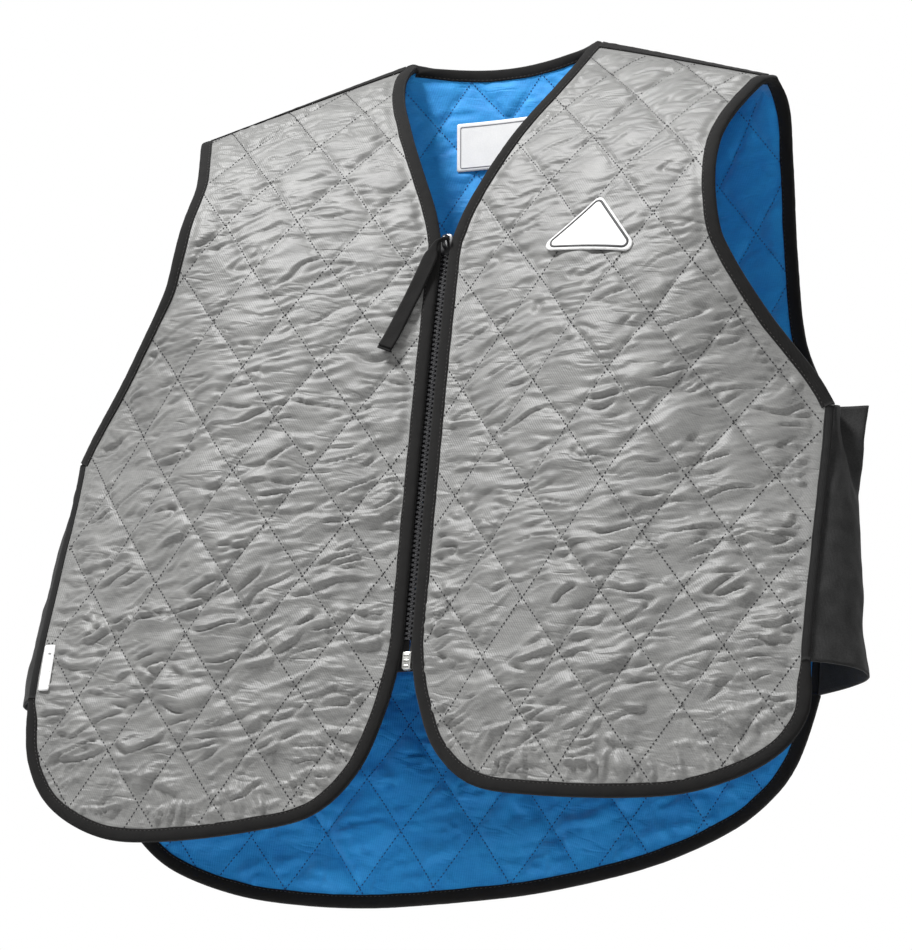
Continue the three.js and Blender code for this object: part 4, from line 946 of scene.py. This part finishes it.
def gridOver(outline, step):
    low, high = outline.min(0), outline.max(0)
    columns, rows = (np.arange(low[k], high[k], step) for k in (0, 1))
    return (v.ravel() for v in np.meshgrid(columns, rows))


def curveTerms(x, z, middle):
    u, v = (x - middle[0]) / 30, (z - middle[1]) / 30
    return np.stack([np.ones(len(x)), u, v, u * u, u * v, v * v], axis=1)


def labelRest(panel, look, outline, stiff):  # a smooth level that a label keeps over the quilted cloth
    middle = (outline.min(0) + outline.max(0)) / 2
    x, z = gridOver(outline, 3)
    chosen = nearestEdge(outline, x, z)[0] > 0
    x, z = x[chosen], z[chosen]
    inside, along = nearestEdge(panel["loop"], x, z)
    cloth = quiltHeight(panel, look, x, z, np.maximum(inside, 0), along)
    terms = curveTerms(x, z, middle)
    curve = np.linalg.lstsq(terms, cloth, rcond=None)[0]
    curve[0] += np.quantile(cloth - terms @ curve, stiff)
    return lambda x, z: curveTerms(x, z, middle) @ curve


def clothPatch(name, panel, way, outline, step, wall, level, material, domed=0):
    rim = evenly(np.vstack([outline, outline[:1]]), step)[:-1]
    gridX, gridZ = gridOver(outline, step)
    inside, _ = nearestEdge(rim, gridX, gridZ)
    keep = inside > step * 0.55
    x, z = np.concatenate([rim[:, 0], gridX[keep]]), np.concatenate([rim[:, 1], gridZ[keep]])
    depth = np.concatenate([np.zeros(len(rim)), inside[keep]])
    faces = triangulated(rim, x[len(rim):], z[len(rim):])
    rest = level(x, z)
    top = rest + wall + domed * (1 - np.exp(-depth / 1.5))
    points = np.vstack([wallPoints(panel["wall"], x, z, way * height) for height in (top, rest)])
    base, count = len(x), len(rim)
    faces = faces + [tuple(base + v for v in face[::-1]) for face in faces]
    faces += [((k + 1) % count, k, base + k, base + (k + 1) % count) for k in range(count)]
    middle = (outline.min(0) + outline.max(0)) / 2
    cloth = np.tile(np.stack([x, z], axis=1) - middle, (2, 1))
    return facedOut(addMesh(name, points, faces, material, cloth))


def badgeOutline(inset=0):
    wide, tall = label["badgeWide"] / 2, label["badgeTall"] / 2
    reach = wide - inset * 2.1
    corners = np.array([(-reach, -tall + inset), (reach, -tall + inset), (0, tall - inset * 1.3)])
    turn = label["badgeTilt"]
    turned = corners @ np.array([[math.cos(turn), math.sin(turn)], [-math.sin(turn), math.cos(turn)]])
    turned = turned + [label["badgeAcross"], -label["badgeDown"]]
    return roundedShape(turned, label["badgeCorner"] * 0.8 - inset * 0.6)


def satinLine(name, panel, way, outline, wide, level, lift, material):  # a raised stitched line on a label
    line = evenly(np.vstack([outline, outline[:1]]), 1.2)[:-1]
    ahead = np.roll(line, -1, axis=0) - np.roll(line, 1, axis=0)
    side = np.stack([-ahead[:, 1], ahead[:, 0]], axis=1) / np.linalg.norm(ahead, axis=1, keepdims=True)
    rings = []
    rest = level(line[:, 0], line[:, 1]) + lift
    for across, rise in ((-0.5, -0.15), (-0.3, 0.28), (0, 0.38), (0.3, 0.28), (0.5, -0.15), (0, -0.2)):
        place = line + side * wide * across
        rings.append(wallPoints(panel["wall"], place[:, 0], place[:, 1], way * (rest + rise)))
    ring = np.stack(rings, axis=1)
    m = ring.shape[1]
    faces = ringFaces(len(line), m)
    last = (len(line) - 1) * m
    faces += [(last + k, last + (k + 1) % m, (k + 1) % m, k) for k in range(m)]
    run = np.repeat(np.arange(len(line))[:, None] * 1.2, m, axis=1)
    cloth = np.stack([np.broadcast_to(np.arange(m) * 0.4, ring.shape[:2]), run], axis=-1)
    return facedOut(addMesh(name, ring.reshape(-1, 3), faces, material, cloth.reshape(-1, 2)))


# Shader building blocks
def put(tree, kind, inputs=None, **settings):
    node = tree.nodes.new("ShaderNode" + kind)
    for key, value in settings.items():
        setattr(node, key, value)
    for key, value in (inputs or {}).items():
        if isinstance(value, bpy.types.NodeSocket):
            tree.links.new(value, node.inputs[key])
        else:
            node.inputs[key].default_value = value
    return node


def sums(tree, operation, a, b=0.0, c=0.0):
    return put(tree, "Math", {0: a, 1: b, 2: c}, operation=operation).outputs[0]


def wave(tree, turns):  # from 0 to 1 and back in each turn
    return sums(tree, "MULTIPLY_ADD", sums(tree, "SINE", sums(tree, "MULTIPLY", turns, 2 * math.pi)), 0.5, 0.5)


def blended(tree, share, a, b):
    node = put(tree, "Mix", {0: share, 6: a, 7: b}, data_type="RGBA")
    return node.outputs[2]


def colour(red, green, blue):  # from 0 to 255 as seen on screen
    linear = [v / 255 / 12.92 if v <= 10 else ((v / 255 + 0.055) / 1.055) ** 2.4 for v in (red, green, blue)]
    return (*linear, 1)


def newGroup(name, inputs, outputs):
    group = bpy.data.node_groups.new(name, "ShaderNodeTree")
    for title, kind, value in inputs:
        socket = group.interface.new_socket(title, in_out="INPUT", socket_type="NodeSocket" + kind)
        if value is not None:
            socket.default_value = value
    for title, kind in outputs:
        group.interface.new_socket(title, in_out="OUTPUT", socket_type="NodeSocket" + kind)
    return group, group.nodes.new("NodeGroupInput").outputs, group.nodes.new("NodeGroupOutput").inputs


def twillGroup():  # slanting ribs crossed by the yarns, heights from 0 to 1
    inputs = [("Cloth", "Vector", None), ("Rib", "Float", 0.0016), ("Lean", "Float", 1.0),
              ("Seed", "Float", 0.0)]
    group, given, result = newGroup("twill", inputs, [("Height", "Float"), ("Shade", "Float")])
    waver = put(group, "TexNoise", {"Vector": given["Cloth"], "Scale": 140.0, "Detail": 2.0})
    centred = {0: waver.outputs["Color"], 1: (-0.5, -0.5, -0.5)}
    bent = put(group, "VectorMath", centred, operation="ADD").outputs[0]
    bent = put(group, "VectorMath", {0: bent, 3: 0.0007}, operation="SCALE").outputs[0]
    place = put(group, "VectorMath", {0: given["Cloth"], 1: bent}, operation="ADD").outputs[0]
    axes = put(group, "SeparateXYZ", {0: place}).outputs
    slant = sums(group, "ADD", axes["X"], sums(group, "MULTIPLY", axes["Y"], given["Lean"]))
    turns = sums(group, "DIVIDE", slant, given["Rib"])
    rib = wave(group, turns)
    yarnTurns = sums(group, "DIVIDE", axes["Y"], sums(group, "MULTIPLY", given["Rib"], 0.5))
    yarn = wave(group, yarnTurns)
    group.links.new(sums(group, "MULTIPLY_ADD", yarn, 0.3, sums(group, "MULTIPLY", rib, 0.7)), result["Height"])
    shifted = put(group, "VectorMath", {0: given["Cloth"], 1: given["Seed"]}, operation="ADD").outputs[0]
    slub = put(group, "TexNoise", {"Vector": shifted, "Scale": 900.0, "Detail": 3.0, "Roughness": 0.7})
    group.links.new(slub.outputs["Fac"], result["Shade"])
    return group


def creaseGroup():  # fine level wrinkles and crosswise streaks in the cloth
    group, given, result = newGroup("creases", [("Cloth", "Vector", None), ("Rise", "Float", 0.17)],
        [("Height", "Float"), ("Streak", "Float")])
    axes = put(group, "SeparateXYZ", {0: given["Cloth"]}).outputs
    level = sums(group, "MULTIPLY_ADD", axes["X"], given["Rise"], axes["Y"])

    def stretched(wide, tall, detail):
        across, down = sums(group, "DIVIDE", axes["X"], wide), sums(group, "DIVIDE", level, tall)
        place = put(group, "CombineXYZ", {0: across, 1: down})
        noise = put(group, "TexNoise", {"Vector": place.outputs[0], "Scale": 1.0, "Detail": detail})
        return noise.outputs["Fac"]

    away = sums(group, "ABSOLUTE", sums(group, "SUBTRACT", stretched(0.034, 0.0085, 2.0), 0.5))
    dip = {"Value": away, "From Min": 0.0, "From Max": 0.11, "To Min": -1.0, "To Max": 0.0}
    valley = put(group, "MapRange", dip, interpolation_type="SMOOTHSTEP").outputs[0]
    busy = stretched(0.03, 0.018, 1.0)
    busy = put(group, "MapRange", {"Value": busy, "From Min": 0.48, "From Max": 0.62}).outputs[0]
    small = stretched(0.009, 0.0021, 3.0)
    lines = sums(group, "MULTIPLY", valley, busy)
    group.links.new(sums(group, "MULTIPLY_ADD", small, 0.45, lines), result["Height"])
    group.links.new(stretched(0.006, 0.0007, 2.0), result["Streak"])
    return group


def clothGroup():  # the colour and the relief that all the cloths share
    inputs = [("Cloth", "Vector", None), ("Rib", "Float", 0.001), ("Lean", "Float", 0.5),
              ("Patch", "Float", 90.0), ("Streaks", "Float", 0.0), ("Light", "Color", None),
              ("Dark", "Color", None), ("Rib Shade", "Float", 0.1), ("Relief", "Float", 0.0001),
              ("Wrinkle", "Float", 0.0)]
    group, given, result = newGroup("cloth", inputs, [("Color", "Color"), ("Normal", "Vector")])
    weave = put(group, "Group", {}, node_tree=bpy.data.node_groups["twill"])
    for key in ("Cloth", "Rib", "Lean"):
        group.links.new(given[key], weave.inputs[key])
    creases = put(group, "Group", {}, node_tree=bpy.data.node_groups["creases"])
    group.links.new(given["Cloth"], creases.inputs["Cloth"])
    patches = put(group, "TexNoise", {"Vector": given["Cloth"], "Scale": given["Patch"], "Detail": 4.0})
    patches = patches.outputs["Fac"]
    change = sums(group, "SUBTRACT", creases.outputs["Streak"], weave.outputs["Shade"])
    mixed = sums(group, "MULTIPLY_ADD", change, given["Streaks"], weave.outputs["Shade"])
    share = sums(group, "MULTIPLY_ADD", mixed, 0.6, sums(group, "MULTIPLY", patches, 0.4))
    sharpened = put(group, "MapRange", {"Value": share, "From Min": 0.36, "From Max": 0.64}).outputs[0]
    base = blended(group, sharpened, given["Dark"], given["Light"])
    # painted shade: the base colour is made darker in the weave's grooves, by as much as Rib Shade
    depth = sums(group, "SUBTRACT", weave.outputs["Height"], 1.0)
    grooveShade = sums(group, "MULTIPLY_ADD", depth, given["Rib Shade"], 1.0)
    shaded = put(group, "VectorMath", {0: base, 3: grooveShade}, operation="SCALE").outputs[0]
    group.links.new(shaded, result["Color"])
    wrinkled = put(group, "Bump", {"Height": creases.outputs["Height"], "Distance": given["Wrinkle"]})
    bump = put(group, "Bump", {"Height": weave.outputs["Height"], "Distance": given["Relief"],
                               "Normal": wrinkled.outputs["Normal"]})
    group.links.new(bump.outputs["Normal"], result["Normal"])


def wearGroup():  # a value that varies a little, as on handled plastic or metal
    inputs = [("Place", "Vector", None), ("Value", "Float", 0.5)]
    group, given, result = newGroup("wear", inputs, [("Value", "Float")])
    noise = put(group, "TexNoise", {"Vector": given["Place"], "Scale": 900.0, "Detail": 3.0}).outputs["Fac"]
    spread = {"Value": noise, "From Min": 0.3, "From Max": 0.7, "To Min": 0.85, "To Max": 1.15}
    share = put(group, "MapRange", spread)
    group.links.new(sums(group, "MULTIPLY", share.outputs[0], given["Value"]), result["Value"])


def newMaterial(name, group, settings):
    material = bpy.data.materials.new(name)
    material.use_nodes = True
    tree = material.node_tree
    node = put(tree, "Group", {}, node_tree=bpy.data.node_groups[group])
    for key, value in settings.items():
        node.inputs[key].default_value = value
    return material, tree, node, tree.nodes["Principled BSDF"]


def clothMaterial(name, light, dark, rib, lean, patch, ribShade, relief, rough, specular, sheen, wrinkle=0.0):
    material, tree, cloth, shader = newMaterial(name, "cloth", {
        "Rib": rib, "Lean": lean, "Patch": patch, "Streaks": 0.7 if wrinkle else 0.0, "Light": colour(*light),
        "Dark": colour(*dark), "Rib Shade": ribShade, "Relief": relief, "Wrinkle": wrinkle})
    tree.links.new(put(tree, "UVMap", uv_map="cloth").outputs["UV"], cloth.inputs["Cloth"])
    tree.links.new(cloth.outputs["Color"], shader.inputs["Base Color"])
    tree.links.new(cloth.outputs["Normal"], shader.inputs["Normal"])
    for key, value in (("Roughness", rough), ("Specular IOR Level", specular), ("Sheen Weight", sheen),
                       ("Sheen Roughness", 0.5)):
        shader.inputs[key].default_value = value
    return material


def plainMaterial(name, tone, rough, metallic=0.0, specular=0.5, coat=0.0):
    material, tree, wear, shader = newMaterial(name, "wear", {"Value": rough})
    tree.links.new(put(tree, "TexCoord").outputs["Object"], wear.inputs["Place"])
    tree.links.new(wear.outputs["Value"], shader.inputs["Roughness"])
    for key, value in (("Base Color", colour(*tone)), ("Metallic", metallic), ("Specular IOR Level", specular),
                       ("Coat Weight", coat)):
        shader.inputs[key].default_value = value
    return material


twillGroup()
creaseGroup()
clothGroup()
wearGroup()
# light and dark tone, rib, lean, patch, rib shade, relief, roughness, specular, sheen, wrinkle
shellCloth = clothMaterial(
    "shell_cloth", (119, 119, 117), (94, 94, 93), 0.0016, 0.6, 60, 0.06, 1e-4, 0.5, 0.45, 0.15, 3.5e-4)
liningCloth = clothMaterial(
    "lining_cloth", (26, 141, 206), (12, 119, 189), 0.0012, 0.2, 60, 0.1, 1e-4, 0.65, 0.35, 0.2, 2e-4)
bindingTape = clothMaterial(
    "binding_tape", (16, 15, 14), (5, 4, 4), 0.0011, 0.9, 90, 0.3, 1.6e-4, 0.85, 0.2, 0.05)
stretchCloth = clothMaterial(
    "stretch_cloth", (48, 48, 48), (26, 26, 26), 0.0009, 0, 90, 0.25, 1.2e-4, 0.85, 0.2, 0.06)
seamCloth = clothMaterial(
    "seam_cloth", (20, 20, 20), (9, 9, 9), 0.0009, 0, 90, 0.25, 1.2e-4, 0.85, 0.2, 0.05)
zipTapeCloth = clothMaterial(
    "zip_tape", (26, 25, 26), (14, 13, 14), 0.0008, 1.4, 90, 0.3, 1e-4, 0.75, 0.3, 0.1)
labelCloth = clothMaterial(
    "label_cloth", (214, 214, 213), (204, 204, 204), 0.0005, 0, 90, 0.06, 3e-5, 0.6, 0.4, 0.1)
darkThread = clothMaterial(
    "dark_thread", (16, 16, 20), (8, 8, 11), 0.0004, 0.3, 90, 0.3, 5e-5, 0.5, 0.5, 0.1)
greyThread = plainMaterial("grey_thread", (120, 120, 124), 0.6)
# the dark stitch dashes on the shell are partly the dark thread and partly painted shade of the needle holes
shellThreadAndHoleShade = plainMaterial("shell_thread_and_hole_shade", (38, 38, 40), 0.6)
liningThread = plainMaterial("lining_thread", (16, 66, 116), 0.6)
tapeThread = plainMaterial("tape_thread", (44, 41, 40), 0.5)
toothPlastic = plainMaterial("zip_teeth", (40, 40, 42), 0.14, 0, 1.0, 1.0)
sliderMetal = plainMaterial("slider_metal", (20, 20, 22), 0.34, 0.1, 0.5, 0.15)
boxMetal = plainMaterial("box_metal", (190, 190, 186), 0.35, 0.8)

# The two fronts, for +x and mirrored, and the back
print("quilted cloth")
sides = (("left", 1), ("right", -1))
anchors = {"left": (51, -325), "right": (-75, -338), "back": (-12.5, -523)}
shellLook, liningLook = quilt["shell"], quilt["lining"]
panels = {"back": makePanel(back, backLoop(), anchors["back"], 300)}
for name, side in sides:
    loop = frontLoop(side) if side > 0 else mirrored(frontLoop(side))[::-1]
    panels[name] = makePanel(front, loop, anchors[name], 100 if side > 0 else 200)

for name, panel in panels.items():
    isBack = name == "back"
    shellName = "back_shell" if isBack else "front_shell_" + name
    liningName = "back_lining" if isBack else "front_lining_" + name
    look = quilt["shellBack"] if isBack else shellLook
    shellPiece = quiltedPly(shellName, panel, look, 1, shellCloth)
    settle(shellPiece, "shell_cloth", "back_shell" if isBack else "front_panel_" + name)
    liningPiece = quiltedPly(liningName, panel, liningLook, -1, liningCloth)
    settle(liningPiece, "lining_cloth", *(["back_lining"] if isBack else []))
    settle(quiltStitches(shellName + "_stitches", panel, look, 1, shellThreadAndHoleShade), "shell_cloth")
    settle(quiltStitches(liningName + "_stitches", panel, liningLook, -1, liningThread), "lining_cloth")

def addTape(name, stations, seed, width=tape["width"]):
    settle(boundEdge(name, stations, width, bindingTape, seed), "binding_tape", name)
    settle(boundStitches(name + "_stitches", stations, width, tapeThread, seed), "binding_tape")


print("tapes and seams")
for name, side in sides:
    seed = 400 + 10 * side
    frontPath = joined(neckLine - [0, 0.3], frontEdge(side)[len(neckLine):])
    frontStations = stationsOf(front, frontPath, side)
    left = alongStations(frontStations)[-1] - alongStations(frontStations)[:, None]
    tapered = tape["width"] * (1 - tape["taper"] * (1 - ramp(left, 0, tape["taperRun"])))
    addTape("binding_front_" + name, frontStations, seed, tapered)
    armhole = stationsOf(front, armholeFront[::-1], side) + stationsOf(back, armholeBack, side, -1)[1:]
    addTape("binding_armhole_" + name, armhole, seed + 3)
    strips = shoulderStrip("shoulder_seam_" + name, side, bindingTape, seed + 5)
    settle(strips[0], "binding_tape", "shoulder_seam_" + name)
    settle(strips[1], "binding_tape")
    for wall, path, node, shift in ((front, frontSide(side), "side_seam_front_" + name, 6),
                                    (back, backSide, "side_seam_back_" + name, 7)):
        stations = stationsOf(wall, path[:-1] + [0, 0.5], side)
        settle(boundEdge(node, stations, tape["seamWidth"], seamCloth, seed + shift), "stretch_cloth", node)
    band, cut, cutArea = gussetPiece("side_band_" + name, side, stretchCloth, seed + 8)
    settle(band, "stretch_cloth", "side_band_" + name)

neckBack = joined(backNeckLine, mirrored(backNeckLine)[::-1])
addTape("binding_back_neck", stationsOf(back, neckBack), 431)
hemLine = joined(mirrored(hemBack(-1)), hemBack(1)[::-1])
addTape("binding_back_hem", stationsOf(back, hemLine), 441)

print("zip")
for name, side in sides:
    settle(zipTape("zip_tape_" + name, side, zipTapeCloth), "zip_tape", "zip_tape_" + name)
    settle(zipTeeth("zip_teeth_" + name, side, toothPlastic), "zip_teeth", "zip_teeth_" + name)
settle(sliderBody("zip_slider", sliderMetal), "slider_metal", "zip_slider")
settle(zipBox("zip_box", boxMetal), "box_metal", "zip_box")
ribbonPiece = pullRibbon("zip_pull_ribbon", panels["right"], shellLook, bindingTape)
settle(ribbonPiece, "binding_tape", "zip_pull_ribbon")

print("labels")
neckPlace = (label["neckWide"], label["neckTall"], 0, label["neckDown"])
neckShape, neckRim = upright(*neckPlace), upright(*neckPlace, label["neckLine"])
neckLevel = labelRest(panels["back"], liningLook, neckShape, label["neckStiff"])
neckPiece = clothPatch("neck_label", panels["back"], -1, neckShape, 1.6, label["wall"], neckLevel, labelCloth)
settle(neckPiece, "label_cloth", "neck_label")
neckBorder = satinLine("neck_label_border", panels["back"], -1, neckRim, 0.8, neckLevel, label["wall"],
                       greyThread)
settle(neckBorder, "label_cloth")
badgeLevel = labelRest(panels["left"], shellLook, badgeOutline(), label["badgeStiff"])
badge = clothPatch("chest_badge", panels["left"], 1, badgeOutline(), 1.1, label["badgeWall"], badgeLevel,
                   labelCloth, domed=0.35)
settle(badge, "label_cloth", "chest_badge")
badgeRim = satinLine("chest_badge_line", panels["left"], 1, badgeOutline(label["badgeLine"]),
                     label["badgeLineWide"], badgeLevel, 0.3 + label["badgeWall"], darkThread)
settle(badgeRim, "label_cloth")
sideShape = upright(label["sideWide"], label["sideTall"], -label["sideAcross"], label["sideDown"])
sideLevel = labelRest(panels["right"], shellLook, sideShape, 1.0)
sidePiece = clothPatch("side_label", panels["right"], 1, sideShape, 1.6, label["wall"], sideLevel, labelCloth)
settle(sidePiece, "label_cloth", "side_label")

print("room, lights and camera")
scene = bpy.context.scene
view = {"azimuth": 23, "elevation": -18, "roll": 3.2, "target": (-6, -20, -322), "distance": 2200,
        "focal": 3300, "width": 912, "height": 950, "sensor": 36}
studio = {"floor": -1300, "wide": 9000, "ambient": 0.24}


def turned(azimuth, elevation, roll):
    a, e, r = (math.radians(v) for v in (azimuth, elevation, roll))
    away = Vector((math.sin(a) * math.cos(e), -math.cos(a) * math.cos(e), math.sin(e)))
    right = Vector((math.cos(a), math.sin(a), 0))
    up = away.cross(right)
    c, s = math.cos(r), math.sin(r)
    return Matrix((right * c + up * s, up * c - right * s, away)).transposed()


def addLight(name, azimuth, elevation, distance, size, power):
    lamp = bpy.data.lights.new(name, "AREA")
    lamp.shape = "DISK"
    lamp.size = size
    lamp.energy = power
    holder = bpy.data.objects.new(name, lamp)
    axes = turned(azimuth, elevation, 0)
    place = Vector(view["target"]) * vest["mm"] + axes.col[2] * distance
    holder.matrix_world = Matrix.Translation(place) @ axes.to_4x4()
    scene.collection.objects.link(holder)


half, floorZ = studio["wide"] / 2, studio["floor"]
corners = [(x * half, y * half, floorZ) for x, y in ((-1, -1), (1, -1), (1, 1), (-1, 1))]
floorPaint = plainMaterial("floor", (236, 236, 236), 0.8)
floorPiece = addMesh("floor", corners, [(0, 1, 2, 3)], floorPaint, smooth=False)
addLight("key", -30, 54, 3.2, 0.8, 196)
addLight("fill", 30, 6, 3.6, 1.6, 32)
addLight("rim", 170, 40, 3.2, 2.0, 40)

world = bpy.data.worlds.new("room")
scene.world = world
world.use_nodes = True
sky = world.node_tree
sky.nodes.clear()
seen = put(sky, "Background", {"Color": (1, 1, 1, 1), "Strength": 1.0})
around = put(sky, "Background", {"Color": (1, 1, 1, 1), "Strength": studio["ambient"]})
fromCamera = put(sky, "LightPath").outputs["Is Camera Ray"]
mixed = put(sky, "MixShader", {0: fromCamera, 1: around.outputs[0], 2: seen.outputs[0]})
put(sky, "OutputWorld", {"Surface": mixed.outputs[0]})

camera = bpy.data.cameras.new("camera")
camera.sensor_width = view["sensor"]
camera.lens = view["focal"] * view["sensor"] / max(view["width"], view["height"])
camera.clip_end = 100
holder = bpy.data.objects.new("camera", camera)
axes = turned(view["azimuth"], view["elevation"], view["roll"])
place = (Vector(view["target"]) + axes.col[2] * view["distance"]) * vest["mm"]
holder.matrix_world = Matrix.Translation(place) @ axes.to_4x4()
scene.collection.objects.link(holder)
scene.camera = holder
scene.view_settings.view_transform = "Standard"
